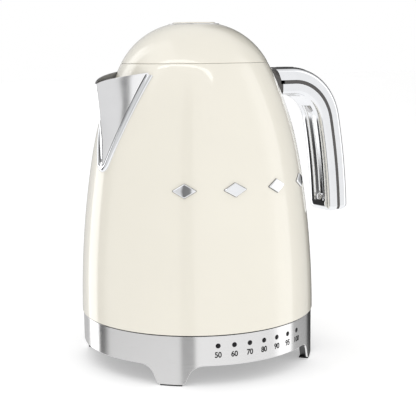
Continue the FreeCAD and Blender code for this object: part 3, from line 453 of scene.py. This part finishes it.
def finish_cad_nodes():
    """Each CAD node takes the finish of its slot in the record."""
    for row in frame["record"]["subparts"]:
        mesh = frame["nodes"][row["node"]].data
        mesh.materials.clear()
        mesh.materials.append(FINISH[row["material_slot"]])


# ---------------- jug and lid

def skin_rule(point, normal):
    """The skin's own normal, for a face of the jug or lid that lies on it, outside or inside."""
    if not (JUG_LOW + EDGE < point.z < LID_HIGH - 1) or JUG_HIGH - EDGE < point.z < LID_LOW + EDGE:
        return None
    out, up = skin_normal(point.z)
    exact = Vector((*(point.xy.normalized() * out), up))
    if normal.dot(exact) > 0.98:
        return exact
    return -exact if normal.dot(exact) < -0.98 else None


def make_jug_shell():
    """The painted body with its rolled rim, cut for the spout and the water gauge."""
    outside = skin_line(JUG_LOW, JUG_HIGH + SEAM_FILL)
    inside = skin_line(JUG_LOW, JUG_HIGH + SEAM_FILL, -WALL)[::-1]
    outline = outside + inside
    ends = {0, len(outside) - 1, len(outside), len(outline) - 1}
    radii = [EDGE if number in ends else 0 for number in range(len(outline))]
    shell = lathe("jug_body", rounded(outline, radii), FINISH["painted_steel"], FINISH["stainless"])
    mouth = loft("cutter", [[(x, 0, SPOUT_HOLE_LOW), (x, -SPOUT_HOLE_HALF, SPOUT_HOLE_HIGH),
                             (x, SPOUT_HOLE_HALF, SPOUT_HOLE_HIGH)] for x in (-100, -30)])
    low, high = span("level_window")
    gauge = box_cutter((30, low.y - PLAY, low.z - PLAY), (100, high.y + PLAY, high.z + PLAY))
    carve(shell, mouth, gauge)
    for face in shell.data.polygons:
        centre = face.center / MM
        if centre.xy.length < skin(centre.z) - WALL / 2:
            face.material_index = 1
    settle(shell, "jug", "painted_steel", "jug_shell", rule=skin_rule)


def make_lid():
    """The dome with its hinge slot, the round cap on top and the thin steel ring under the cap."""
    outside = skin_line(LID_LOW, LID_HIGH, step=0.8)
    inside = skin_line(LID_LOW, LID_HIGH - LID_WALL, -LID_WALL, step=1.5)[::-1]
    outline = outside + [(CAP_HOLE, LID_HIGH), (CAP_HOLE, LID_HIGH - LID_WALL)] + inside
    ends = {0: EDGE, len(outside) - 1: 0.7, len(outline) - 1: EDGE}
    radii = [ends.get(number, 0) for number in range(len(outline))]
    dome = lathe("lid_shell", rounded(outline, radii), FINISH["painted_steel"], FINISH["black_plastic"])
    carve(dome, box_cutter((44, -HINGE_HALF, LID_LOW - 1), (60, HINGE_HALF, LID_LOW + 3.6)))
    settle(dome, "lid", "painted_steel", "lid_dome")

    disc = rounded([(0, LID_HIGH - CAP_DEPTH), (CAP_STEM, LID_HIGH - CAP_DEPTH), (CAP_STEM, LID_HIGH),
                    (DISC_RADIUS, LID_HIGH), (DISC_RADIUS, DISC_HIGH), (0, DISC_HIGH + CAP_CROWN)],
                   [0, 0, 0, 0, CAP_ROUND, 0])
    settle(lathe("lid_cap", disc, FINISH["painted_steel"]), "lid", "painted_steel", "lid_top_disc")
    washer = rounded([(DISC_RADIUS - 2, LID_HIGH), (CAP_RING_RADIUS, LID_HIGH),
                      (CAP_RING_RADIUS, LID_HIGH + CAP_RING_THICK),
                      (DISC_RADIUS - 2, LID_HIGH + CAP_RING_THICK)], [0, 0, 0.2, 0])
    settle(lathe("lid_cap_ring", washer, FINISH["stainless"]), "lid", "stainless")


# ---------------- power base

def arch_edge():
    """Half of an arch, from its middle to a leg's, as (degrees round the ring, height) in small steps."""
    lean = math.tan(math.radians(ARCH_LEAN))
    leg = RING_RADIUS * math.sin(math.radians(LEG_TURN))
    outline = rounded([(0, ARCH_ROOF), (ARCH_HALF - ARCH_ROOF * lean, ARCH_ROOF),
                       (ARCH_HALF - RING_LOW * lean, RING_LOW), (leg, RING_LOW)],
                      [0, ARCH_ROUND, FOOT_ROUND, 0], steps=10, closed=False)
    edge = [(math.degrees(math.asin(across / RING_RADIUS)), height) for across, height in outline]
    fine = []
    for (turn, height), (later, following) in zip(edge, edge[1:]):
        count = max(1, math.ceil((later - turn) / 1.5))      # no step wider than 1.5 degrees
        fine += [(turn + (later - turn) * step / count, height + (following - height) * step / count)
                 for step in range(count)]
    return fine


def ring_columns():
    """(degrees from +X, lower edge) all the way round, close together where the edge bends."""
    columns = []
    edge = arch_edge()
    for middle in range(0, 360, 2 * LEG_TURN):
        columns += [(middle - turn, height) for turn, height in reversed(edge[1:])]
        columns += [(middle + turn, height) for turn, height in edge]
        columns.append((middle + LEG_TURN, RING_LOW))
    return columns


def ring_rule(point, normal):
    """The ring's own normal, for a face on its outside."""
    if abs(point.xy.length - RING_RADIUS) > 0.1:
        return None
    exact = Vector((*point.xy.normalized(), 0))
    return exact if normal.dot(exact) > 0.98 else None


def make_base_ring():
    """The brushed ring with its lip, arches and legs, cut for the lamps and buttons."""
    rings = []
    for turn, low in ring_columns():
        section = rounded(
            [(RING_RADIUS, low), (RING_RADIUS, RING_TOP), (LIP_RADIUS, RING_TOP),
             (LIP_RADIUS, RING_TOP - RING_WALL), (RING_RADIUS - RING_WALL, RING_TOP - RING_WALL),
             (RING_RADIUS - RING_WALL, low)], [0.4, 0.7, 0.3, 0, 0, 0.2])
        rings.append([polar(radius, turn, height) for radius, height in section])
    ring = loft("brushed_ring", rings, FINISH["brushed_steel"], closed=True)
    hole = [(BUTTON_RADIUS + PLAY, 0), (BUTTON_RADIUS + PLAY, CUT_LENGTH)]
    cutters = [loft("cutter", rod_rings(facing((CUT_FROM, side, BUTTON_HEIGHT), (1, 0, 0)), hole, 48))
               for side in (-BUTTON_SPREAD, BUTTON_SPREAD)]
    hole = [(LAMP_RADIUS, 0), (LAMP_RADIUS, CUT_LENGTH)]
    for turn in LAMP_TURNS:
        way = polar(1, turn - 90, 0)
        place = facing(way * CUT_FROM + Vector((0, 0, LAMP_HEIGHT)), way)
        cutters.append(loft("cutter", rod_rings(place, hole, 24)))
    carve(ring, *cutters)
    settle(ring, "base", "brushed_steel", "base_ring", rule=ring_rule)


def make_lamps():
    """Domed smoked lenses on one light guide behind the ring."""
    lenses = []
    for turn in LAMP_TURNS:
        way = polar(1, turn - 90, 0)
        tip = RING_RADIUS + LENS_PROUD
        dome = [(LAMP_RADIUS - 0.05, BEHIND_RING), (LAMP_RADIUS - 0.05, tip - 0.5),
                (LAMP_RADIUS * 0.8, tip - 0.22), (LAMP_RADIUS * 0.45, tip - 0.06), (0.02, tip)]
        lenses.append(loft("lens", rod_rings(facing(Vector((0, 0, LAMP_HEIGHT)), way), dome),
                           FINISH["lens"]))
    section = ((GUIDE_IN, -GUIDE_HALF), (GUIDE_OUT, -GUIDE_HALF), (GUIDE_OUT, GUIDE_HALF),
               (GUIDE_IN, GUIDE_HALF))
    bar = [[polar(radius, turn - 90, LAMP_HEIGHT + up) for radius, up in section]
           for turn in range(-GUIDE_TURN, GUIDE_TURN + 1)]
    lenses.append(loft("bar", bar, FINISH["lens"]))
    settle(join("lamp_lenses", lenses), "base", "lens", "indicator_light_guide")


def make_numbers():
    """The printed temperature scale, wrapped round the ring under the lamps."""
    ink = grain(new_finish("black_ink", (0.008, 0.008, 0.008), 0.6, Specular_IOR_Level=0.1), 0.4,
                tint=0.1, rough=0.05)
    printed = []
    for turn, word in zip(LAMP_TURNS, NUMBERS):
        curve = bpy.data.curves.new("number", "FONT")
        curve.body, curve.align_x, curve.size = word, "CENTER", NUMBER_TALL * 1.4
        curve.space_character = 0.95
        curve.extrude, curve.offset, curve.resolution_u = INK_PROUD, NUMBER_BOLD, 4
        text = bpy.data.objects.new("number", curve)
        bpy.context.scene.collection.objects.link(text)
        mesh = bpy.data.meshes.new_from_object(text)
        tall = max(vertex.co.y for vertex in mesh.vertices)
        for vertex in mesh.vertices:
            across, up, proud = vertex.co
            angle = turn - 90 + math.degrees(across * NUMBER_NARROW / RING_RADIUS)
            vertex.co = polar(RING_RADIUS + INK_PROUD + proud, angle,
                              NUMBER_LOW + up * NUMBER_TALL / tall) * MM
        bpy.data.objects.remove(text)
        number = bpy.data.objects.new("number", mesh)
        mesh.materials.clear()
        mesh.materials.append(ink)
        printed.append(number)
    settle(join("temperature_scale", printed), "base", "black_plastic", sharp=60)


def make_buttons():
    """Two chrome push buttons with dished faces, on black stems."""
    face = BUTTON_FACE
    shape = [(BUTTON_FLANGE, FLANGE_BACK), (BUTTON_FLANGE, BEHIND_RING), (BUTTON_RADIUS, BEHIND_RING),
             (BUTTON_RADIUS, face - 0.6), (BUTTON_RADIUS - 0.2, face - 0.2), (BUTTON_RADIUS - 0.7, face),
             (BUTTON_RADIUS - 1.6, face - 0.1), (BUTTON_RADIUS - 3, face - 0.35), (0.02, face - 0.45)]
    behind = [(BUTTON_RADIUS, STEM_BACK), (BUTTON_RADIUS, FLANGE_BACK)]
    for name, side in (("start", -BUTTON_SPREAD), ("temperature", BUTTON_SPREAD)):
        place = facing((0, side, BUTTON_HEIGHT), (1, 0, 0))
        button = loft(name + "_push_button", rod_rings(place, shape, 48), FINISH["chrome"])
        stem = loft("stem", rod_rings(place, behind, 48), FINISH["black_plastic"])
        settle(join(name + "_push_button", [button, stem]), name + "_button", "chrome", name + "_button")


# ---------------- spout and badges

def beak(height):
    """The spout's reach and half width at a height."""
    for (low, reach, half), (high, next_reach, next_half) in zip(BEAK, BEAK[1:]):
        if height <= high:
            share = max((height - low) / (high - low), 0)
            return reach + (next_reach - reach) * share, half + (next_half - half) * share
    return BEAK[-1][1:]


def beak_half(height_nose, height_root, side, inset, steps=12):
    """One side of the beak at a slanting level, from its nose to the jug's skin."""
    reach, _ = beak(height_nose)
    _, half = beak(height_root)
    half -= inset
    root = math.sqrt(skin(height_root) ** 2 - half ** 2) - 0.4
    nose_half = min(NOSE_HALF, half * 0.6) - inset * 0.3
    start, end = Vector((reach - inset, nose_half)), Vector((root - inset * 0.2, half))
    swell = SIDE_SWELL * (end - start).length
    away = Vector((end.y - start.y, start.x - end.x)).normalized()
    side_points = []
    for step in range(steps + 1):
        share = step / steps
        point = start.lerp(end, share) + away * (swell * 4 * share * (1 - share))
        height = height_nose + (height_root - height_nose) * share ** RIM_HOLLOW
        side_points.append(Vector((-point.x, side * point.y, height)))
    return side_points


def make_spout():
    """The folded beak, satin outside and plain steel inside, darkened there as painted shade in its
    hollow, with softened edges.
    """
    levels = 28
    rings = []
    for level in range(levels + 1):
        share = level / levels
        nose = BEAK[0][0] + (MOUTH_NOSE - BEAK[0][0]) * share
        root = BEAK[0][0] + (MOUTH_ROOT - BEAK[0][0]) * share
        wall = min(BEAK_WALL, beak(root)[1] * 0.4)
        outside = beak_half(nose, root, -1, 0)[::-1] + beak_half(nose, root, 1, 0)
        inside = beak_half(nose, root, 1, wall)[::-1] + beak_half(nose, root, -1, wall)
        rings.append(outside + inside)
    spout = loft("folded_spout", rings, FINISH["satin_chrome"], FINISH["spout_inside_painted_shade"])
    soften = spout.modifiers.new("edges", "BEVEL")
    soften.width, soften.segments, soften.limit_method = 0.35 * MM, 3, "ANGLE"
    soften.angle_limit = math.radians(25)
    bake(spout)
    # faces turned into the spout take the darkened steel: painted shade
    for face in spout.data.polygons:
        face.material_index = int(face.normal.y * face.center.y < 0)
    settle(spout, "jug", "chrome", "spout", sharp=40)


def bead_rings(path, width, proud, turn, closed=False):
    """A half round bead along a path of (across, height) points on the jug's skin."""
    rings = []
    count = len(path)
    for number, point in enumerate(path):
        before = path[number - 1] if closed or number else point
        after = path[(number + 1) % count] if closed or number < count - 1 else point
        way = (Vector(after) - Vector(before)).normalized()
        across = Vector((way.y, -way.x))
        section = [(width / 2, -ROOTED)]
        for step in range(11):
            angle = math.pi * step / 10
            section.append((width / 2 * math.cos(angle), proud * math.sin(angle) ** 0.8))
        section.append((-width / 2, -ROOTED))
        rings.append([on_skin(*(Vector(point) + across * out), up, turn) for out, up in section])
    return rings


def bead_path():
    """The V round the spout: two long limbs and a tight round at the bottom, along the bead's middle."""
    inset = BEAD_WIDTH / 2
    nose_round, limb_round = BEAD_NOSE_ROUND - inset, BEAD_LIMB_ROUND - inset
    centre = BEAD_LOW + BEAD_NOSE_ROUND
    spread = math.radians(BEAD_SPREAD)
    join_point = (nose_round * math.cos(spread), centre - nose_round * math.sin(spread))
    limb = arc_between(join_point, BEAD_TOP, limb_round, 24)
    turn = arc_between((-join_point[0], join_point[1]), join_point, nose_round, 16)
    mirrored = [(-point[0], point[1]) for point in reversed(limb)]
    return mirrored[:-1] + turn + limb[1:]


def inward(path, distance):
    """A path on the skin, moved to its left."""
    moved = []
    for number, point in enumerate(path):
        way = Vector(path[min(number + 1, len(path) - 1)]) - Vector(path[max(number - 1, 0)])
        moved.append(Vector(point) + Vector((-way.y, way.x)).normalized() * distance)
    return moved


def make_spout_trim():
    """The bead, with a black strip between it and the spout: painted shade in the crease there."""
    path = bead_path()
    trim = loft("spout_bead", bead_rings(path, BEAD_WIDTH, BEAD_PROUD, 180), FINISH["chrome"])
    # a black strip on the crease: painted shade where the spout's wall turns in sharply
    edge = inward(path, BEAD_WIDTH / 2 - CREASE_SHADE_LAP)
    crease_shade = loft("crease_shade", bead_rings(edge, CREASE_SHADE_WIDTH, CREASE_SHADE_PROUD, 180), FINISH["black_plastic"])
    settle(join("spout_bead", [trim, crease_shade]), "jug", "chrome", "spout_trim", sharp=50)


def dense_path(outline, pitch):
    """A closed outline with more points, no further apart than about a pitch."""
    path = []
    for start, end in zip(outline, outline[1:] + outline[:1]):
        count = max(1, round((end - start).length / pitch))
        path += [start.lerp(end, step / count) for step in range(count)]
    return path


def make_badges():
    """Four plain raised lozenges with bevelled edges, each on a dark bed."""
    levels = ((1.0, -0.2), (1.0, 0.7), (0.97, 1.0), (0.86, 1.4), (0.6, 1.45), (0.3, 1.48),
              (0.02, BADGE_PROUD))
    bed_levels = ((1.05, -0.2), (1.05, 0.25), (0.98, 0.3))
    for number in range(1, 5):
        low, high = span(f"badge_{number}")
        middle = (low + high) / 2
        turn = -90 + BADGE_STEP * (number - 2.5)
        rise = (high.z - low.z) / 2
        dense = dense_path(rounded([(BADGE_HALF, 0), (0, rise), (-BADGE_HALF, 0), (0, -rise)],
                                   [0.5, 0.8, 0.5, 0.8], 3), 1.2)
        rings, bed = [[[on_skin(point.x * scale, middle.z + point.y * scale, proud, turn)
                        for point in dense] for scale, proud in shape] for shape in (levels, bed_levels)]
        badge = loft(f"lozenge_{number}", rings, FINISH["chrome"])
        badge = join(f"lozenge_{number}", [badge, loft("bed", bed, FINISH["grey_plastic"])])
        settle(badge, "jug", "chrome", f"badge_{number}", sharp=18)


# ---------------- water gauge

def make_gauge_frame():
    """A chrome bead round the water gauge's window."""
    low, high = span("level_window_frame")
    half, tall = (high.y - low.y) / 2 - SURROUND_INSET, (high.z - low.z) / 2 - SURROUND_INSET
    middle = (low.z + high.z) / 2
    corners = [(half, middle - tall), (half, middle + tall), (-half, middle + tall),
               (-half, middle - tall)]
    path = dense_path(rounded(corners, [SURROUND_ROUND] * 4, 6), 4)
    rings = bead_rings(path, SURROUND_WIDTH, SURROUND_PROUD, 0, closed=True)
    surround = loft("gauge_surround", rings, FINISH["chrome"], closed=True)
    settle(surround, "jug", "grey_plastic", "level_window_frame", sharp=50)


# ---------------- handle

BEND_LENGTH = BEND_ROUND * math.radians(BEND_TURN)
STRAIGHT = BEND_START - HANDLE_ROOT
HANDLE_LENGTH = STRAIGHT + BEND_LENGTH + GRIP_ROUND * math.radians(GRIP_TURN)


def handle_station(along):
    """The middle line's point and its outward direction, both in the XZ plane."""
    if along <= STRAIGHT:
        return Vector((HANDLE_ROOT + along, HANDLE_LEVEL)), Vector((0, 1))
    bend_centre = Vector((BEND_START, HANDLE_LEVEL - BEND_ROUND))
    if along <= STRAIGHT + BEND_LENGTH:
        turn = (along - STRAIGHT) / BEND_ROUND
        out = Vector((math.sin(turn), math.cos(turn)))
        return bend_centre + out * BEND_ROUND, out
    bend = math.radians(BEND_TURN)
    turn = bend + (along - STRAIGHT - BEND_LENGTH) / GRIP_ROUND
    last = Vector((math.sin(bend), math.cos(bend)))
    grip_centre = bend_centre + last * (BEND_ROUND - GRIP_ROUND)
    out = Vector((math.sin(turn), math.cos(turn)))
    return grip_centre + out * GRIP_ROUND, out


def handle_point(along, side, depth):
    """A point beside the handle's middle line: to one side, and out across it."""
    middle, out = handle_station(along)
    spot = middle + out * depth
    return Vector((spot.x, side, spot.y))


def handle_alongs(start, end, step=2.0):
    """Distances along the handle, closer together where its end rounds over."""
    count = round((end - END_ROUND - start) / step)
    main = [start + (end - END_ROUND - start) * number / count for number in range(count + 1)]
    tail = [end - END_ROUND * (1 - math.sin(math.pi / 2 * number / 8)) for number in range(1, 9)]
    return main + tail


def end_inset(along, end=None):
    """How far the section has shrunk where the handle's end rounds over."""
    end = HANDLE_LENGTH if end is None else end
    past = max(along - (end - END_ROUND), 0)
    return (END_ROUND - math.sqrt(max(END_ROUND ** 2 - past ** 2, 0))) * 0.85


def fade(along, start, end, run=5.0):
    """1 between two distances along the handle, sinking to 0 past them."""
    share = min((along - start) / run, (end - along) / run)
    share = min(max(share, 0), 1)
    return share * share * (3 - 2 * share)


def slanted(along, start, lean, depth):
    """Move the first stations so that the handle's root follows the jug's slope."""
    return along - lean * depth * max(1 - (along - start) / 10, 0)


CHANNEL_START, CHANNEL_END = STRAIGHT + BEND_LENGTH * 0.62, HANDLE_LENGTH - 8.5
PLUG_SPOTS = (STRAIGHT + BEND_ROUND * math.radians(60),
              STRAIGHT + BEND_LENGTH + GRIP_ROUND * math.radians(86.6 - BEND_TURN))
INLAY_START, INLAY_END = -2.5, STRAIGHT + BEND_ROUND * math.radians(21)


def outer_section(along):
    """The outer shell's section, as (side, depth) points."""
    inset = end_inset(along)
    half, depth = GRIP_HALF - inset, GRIP_OUT - inset
    corner = max(OUT_CORNER - inset, 1)
    return rounded([(-half, STRIP_HALF), (-half, depth), (half, depth), (half, STRIP_HALF)],
                   [0.35, corner, corner, 0.35], 10)


def inner_section(along):
    """The inner shell's section, with the channel down the grip and the groove between its plugs."""
    inset = end_inset(along)
    half, depth = GRIP_HALF - inset, GRIP_IN - inset
    corner = max(IN_CORNER - inset, 1)
    floor = depth - CHANNEL_DEPTH * fade(along, CHANNEL_START, CHANNEL_END)
    groove = GROOVE_DEPTH * fade(along, PLUG_SPOTS[0] + 2, PLUG_SPOTS[1] - 2, 2)
    left = [(-half, -STRIP_HALF), (-half, -depth), (-CHANNEL_HALF, -depth), (-CHANNEL_FLOOR, -floor),
            (-GROOVE_HALF, -floor), (-GROOVE_FLOOR, -floor + groove)]
    right = [(-side, deep) for side, deep in reversed(left)]
    radii = [0.35, corner, 0.6, 0.5, 0.2, 0.15]
    return rounded(left + right, radii + radii[::-1], 6)


def strip_section(along):
    """The dark strip's section, which laps a little into both shells."""
    half = GRIP_HALF - STRIP_IN - end_inset(along, HANDLE_LENGTH - STRIP_SHORT)
    depth = STRIP_HALF + STRIP_LAP
    return rounded([(-half, -depth), (half, -depth), (half, depth), (-half, depth)], [0.2] * 4, 2)


def make_handle():
    """The two chrome shells and the dark strip between them."""
    rings = []
    for along in handle_alongs(OUTER_START, HANDLE_LENGTH):
        rings.append([handle_point(slanted(along, OUTER_START, ROOT_LEAN, depth - STRIP_HALF), side, depth)
                      for side, depth in outer_section(along)])
    outer = loft("handle_outer", rings, FINISH["chrome"])
    carve(outer, box_cutter(*HINGE_POCKET))
    settle(outer, "jug", "chrome", "handle_outer_shell", sharp=40)
    rings = [[handle_point(along, side, depth) for side, depth in inner_section(along)]
             for along in handle_alongs(INNER_START, HANDLE_LENGTH)]
    inner = loft("handle_inner", rings, FINISH["chrome"])
    settle(inner, "jug", "chrome", "handle_inner_shell", sharp=40)
    rings = [[handle_point(along, side, depth) for side, depth in strip_section(along)]
             for along in handle_alongs(OUTER_START, HANDLE_LENGTH - STRIP_SHORT)]
    strip = loft("handle_strip", rings, FINISH["grey_plastic"])
    settle(strip, "jug", "grey_plastic", "handle_core", sharp=40)


def make_plugs():
    """Two round plugs that cover the handle's screws."""
    plugs = []
    for along in PLUG_SPOTS:
        middle, out = handle_station(along)
        spot = Vector((middle.x, 0, middle.y))
        way = Vector((-out.x, 0, -out.y))
        top = GRIP_IN - 0.1
        shape = [(3.0, top - 3), (3.0, top - 0.5), (2.85, top - 0.15), (2.4, top), (1.2, top + 0.06),
                 (0.02, top + 0.08)]
        plugs.append(loft("plug", rod_rings(facing(spot, way), shape), FINISH["stainless"]))
    settle(join("screw_plugs", plugs), "jug", "chrome", "handle_plugs")


def make_collar():
    """The dark block between the jug and the handle's shells, with its hinge pocket and top inlay."""
    top, low, corner = GRIP_OUT - 0.5, -GRIP_IN + 0.5, OUT_CORNER - 0.5
    half = GRIP_HALF - 0.5
    section = rounded([(-half, low), (half, low), (half, top), (-half, top)],
                      [IN_CORNER, IN_CORNER, corner, corner], 8)
    rings = []
    for share in (0, 0.35, 0.7, 1):
        ring = []
        for side, depth in section:
            height = HANDLE_LEVEL + depth
            start = math.sqrt(skin(height) ** 2 - side ** 2) - ROOTED
            ring.append((start + (HANDLE_ROOT + 0.5 - start) * share, side, height))
        rings.append(ring)
    block = loft("collar", rings, FINISH["grey_plastic"])
    carve(block, box_cutter(*HINGE_POCKET))
    rings = []
    count = 14
    for number in range(count + 1):
        along = INLAY_START + (INLAY_END - INLAY_START) * number / count
        size = 0.75 if number == count else 1        # the last ring closes the inlay in a little
        half, top = INLAY_HALF * size, GRIP_OUT + INLAY_PROUD * size
        rings.append([handle_point(along, side, depth) for side, depth in rounded(
            [(-half, INLAY_LOW), (half, INLAY_LOW), (half, top), (-half, top)], [0, 0, 0.5, 0.5], 3)])
    inlay = loft("inlay", rings, FINISH["black_plastic"])
    low, high = span("lid_release_button")
    carve(inlay, box_cutter((low.x - PLAY, low.y - PLAY, 200), (high.x + PLAY, high.y + PLAY, 230)))
    settle(join("handle_collar_block", [block, inlay]), "jug", "grey_plastic", "handle_collar", sharp=30)


def make_release_button():
    """The lid's release button, in its opening in the inlay."""
    low, high = span("lid_release_button")
    rings = []
    for inset, height in ((0, high.z - PUSH_THICK), (0, high.z - 0.7), (0.2, high.z - 0.25),
                          (0.7, high.z)):
        spread = [(low.x + inset, low.y + inset), (high.x - inset, low.y + inset),
                  (high.x - inset, high.y - inset), (low.x + inset, high.y - inset)]
        rings.append([(point.x, point.y, height) for point in rounded(spread, [1.5] * 4, 4)])
    button = loft("release_push", rings, FINISH["black_plastic"])
    settle(button, "release_button", "grey_plastic", "lid_release_button")


# ---------------- filter

def make_filter_mesh():
    """The spout filter's gauze as crossed wires, in the frame's own slanting plane."""
    lean = Matrix.Rotation(math.radians(FILTER_LEAN), 4, "Y")
    corner = Matrix.Translation(FILTER_FOOT) @ lean
    wide, tall = 2 * GAUZE_HALF, GAUZE_HIGH - GAUZE_LOW
    upright, cross = [(WIRE_RADIUS, 0), (WIRE_RADIUS, tall)], [(WIRE_RADIUS, 0), (WIRE_RADIUS, wide)]
    wires = []
    for number in range(int(wide / GAUZE_PITCH) + 1):
        foot = (UPRIGHT_DEPTH, -GAUZE_HALF + GAUZE_PITCH * number, GAUZE_LOW)
        wires.append(rod_rings(corner @ facing(foot, (0, 0, 1)), upright, 6))
    for number in range(int(tall / GAUZE_PITCH) + 1):
        foot = (CROSS_DEPTH, -GAUZE_HALF, GAUZE_LOW + GAUZE_PITCH * number)
        wires.append(rod_rings(corner @ facing(foot, (0, 1, 0)), cross, 6))
    pieces = [loft("wire", rings, FINISH["stainless"]) for rings in wires]
    settle(join("filter_gauze", pieces), "filter", "stainless", "filter_mesh", sharp=70)


# ---------------- stage

STUDIO_STRENGTH = 2.5
# degrees round from the camera's side, positive to its right, and how bright the studio is there
STUDIO_BANDS = ((-180, 0.55), (-137, 0.6), (-134, 1.9), (-116, 1.9), (-114, 0.02), (-105, 0.05),
                (-96, 0.7), (-17, 0.78), (-14, 0.22), (-3, 0.25), (-1, 1.0), (80, 0.95), (90, 1.5),
                (106, 1.5), (110, 0.45), (142, 0.4), (147, 0.05), (172, 0.05), (178, 0.55))


def make_floor():
    """A wide white worktop that keeps the kettle's shadow."""
    floor_finish = new_finish("floor", (0.85, 0.85, 0.85), 0.6, Specular_IOR_Level=0.2,
                              Emission_Color=(1, 1, 1, 1), Emission_Strength=0.36)
    grain(floor_finish, 400, tint=0.01, detail=1)
    half = 6000
    floor = make_piece("floor", [(-half, -half, 0), (half, -half, 0), (half, half, 0), (-half, half, 0)],
                       [(0, 1, 2, 3)], floor_finish)
    floor.visible_glossy = False        # metal mirrors the studio all round, as it does in the photo


def make_world():
    """Light panels all round, with a few dark gaps between them for chrome to mirror.

    A ramp runs round the horizon, with the camera's own side at its middle. The camera itself sees
    plain white behind the kettle.
    """
    world = bpy.data.worlds.new("studio")
    bpy.context.scene.world = world
    world.use_nodes = True
    tree = world.node_tree
    tree.nodes.clear()
    link = tree.links.new

    def node(kind, **settings):
        made = tree.nodes.new(kind)
        for name, setting in settings.items():
            setattr(made, name, setting)
        return made

    place = node("ShaderNodeTexCoord")
    turn = node("ShaderNodeVectorRotate", rotation_type="Z_AXIS")
    turn.inputs["Angle"].default_value = math.pi / 2 + CAMERA_TURN
    split = node("ShaderNodeSeparateXYZ")
    angle = node("ShaderNodeMath", operation="ARCTAN2")
    share = node("ShaderNodeMapRange")
    share.inputs["From Min"].default_value, share.inputs["From Max"].default_value = -math.pi, math.pi
    ramp = node("ShaderNodeValToRGB")
    link(place.outputs["Generated"], turn.inputs["Vector"])
    link(turn.outputs["Vector"], split.inputs["Vector"])
    link(split.outputs["Y"], angle.inputs[0])
    link(split.outputs["X"], angle.inputs[1])
    link(angle.outputs["Value"], share.inputs["Value"])
    link(share.outputs["Result"], ramp.inputs["Fac"])

    elements = ramp.color_ramp.elements
    while len(elements) < len(STUDIO_BANDS):
        elements.new(0.5)
    for element, (degrees, level) in zip(elements, STUDIO_BANDS):
        element.position = 0.5 + degrees / 360
        element.color = (*(level / STUDIO_STRENGTH,) * 3, 1)

    # plain grey overhead and towards the floor, each blended in between two slopes
    colour = ramp.outputs["Color"]
    for start, full, level in ((0.55, 0.8, 0.34), (-0.28, -0.45, 0.42)):
        share = node("ShaderNodeMapRange", interpolation_type="SMOOTHSTEP")
        share.inputs["From Min"].default_value, share.inputs["From Max"].default_value = start, full
        mix = node("ShaderNodeMix", data_type="RGBA")
        mix.inputs["B"].default_value = (level, level, level, 1)
        link(split.outputs["Z"], share.inputs["Value"])
        link(share.outputs["Result"], mix.inputs["Factor"])
        link(colour, mix.inputs["A"])
        colour = mix.outputs["Result"]

    studio = node("ShaderNodeBackground")
    studio.inputs["Strength"].default_value = STUDIO_STRENGTH
    plain = node("ShaderNodeBackground")
    plain.inputs["Color"].default_value = (1, 1, 1, 1)
    path = node("ShaderNodeLightPath")
    choose = node("ShaderNodeMixShader")
    out = node("ShaderNodeOutputWorld")
    link(colour, studio.inputs["Color"])
    link(path.outputs["Is Camera Ray"], choose.inputs["Fac"])
    link(studio.outputs["Background"], choose.inputs[1])
    link(plain.outputs["Background"], choose.inputs[2])
    link(choose.outputs["Shader"], out.inputs["Surface"])


def make_light(name, place, size, power):
    """A soft panel that looks at the kettle's middle; places and sizes are metres."""
    data = bpy.data.lights.new(name, "AREA")
    data.shape, data.size, data.size_y, data.energy = "RECTANGLE", size[0], size[1], power
    panel = bpy.data.objects.new(name, data)
    panel.location = place
    panel.rotation_mode = "QUATERNION"
    panel.rotation_quaternion = (Vector(place) - Vector((0, 0, 0.14))).to_track_quat("Z", "Y")
    panel.visible_camera = False
    bpy.context.scene.collection.objects.link(panel)


def make_camera():
    """The photo's own viewpoint."""
    data = bpy.data.cameras.new("camera")
    data.lens, data.sensor_width = FOCAL_LENGTH, SENSOR_WIDTH
    camera = bpy.data.objects.new("camera", data)
    ahead = Vector((math.sin(CAMERA_TURN), math.cos(CAMERA_TURN), 0))
    aside = Vector((ahead.y, -ahead.x, 0))
    camera.location = aside * CAMERA_ASIDE - ahead * CAMERA_AWAY + Vector((0, 0, CAMERA_HIGH))
    forward = ahead * math.cos(CAMERA_DIP) - Vector((0, 0, math.sin(CAMERA_DIP)))
    roll = Matrix.Rotation(CAMERA_ROLL, 4, "Z")
    camera.rotation_mode = "QUATERNION"
    aim = forward.to_track_quat("-Z", "Y").to_matrix().to_4x4() @ roll
    camera.rotation_quaternion = aim.to_quaternion()
    data.clip_start, data.clip_end = 0.01, 50
    bpy.context.scene.collection.objects.link(camera)
    bpy.context.scene.camera = camera


finish_cad_nodes()
make_jug_shell()
make_lid()
make_base_ring()
make_lamps()
make_numbers()
make_buttons()
make_spout()
make_spout_trim()
make_badges()
make_gauge_frame()
make_handle()
make_plugs()
make_collar()
make_release_button()
make_filter_mesh()
make_floor()
make_world()
make_light("overhead", (-0.6, 0.35, 1.1), (0.9, 0.7), 1)
make_light("front_panel", (-0.66, -0.52, 1.5), (2.0, 0.1), 2.6)
make_camera()
bpy.context.scene.view_settings.view_transform = "Standard"
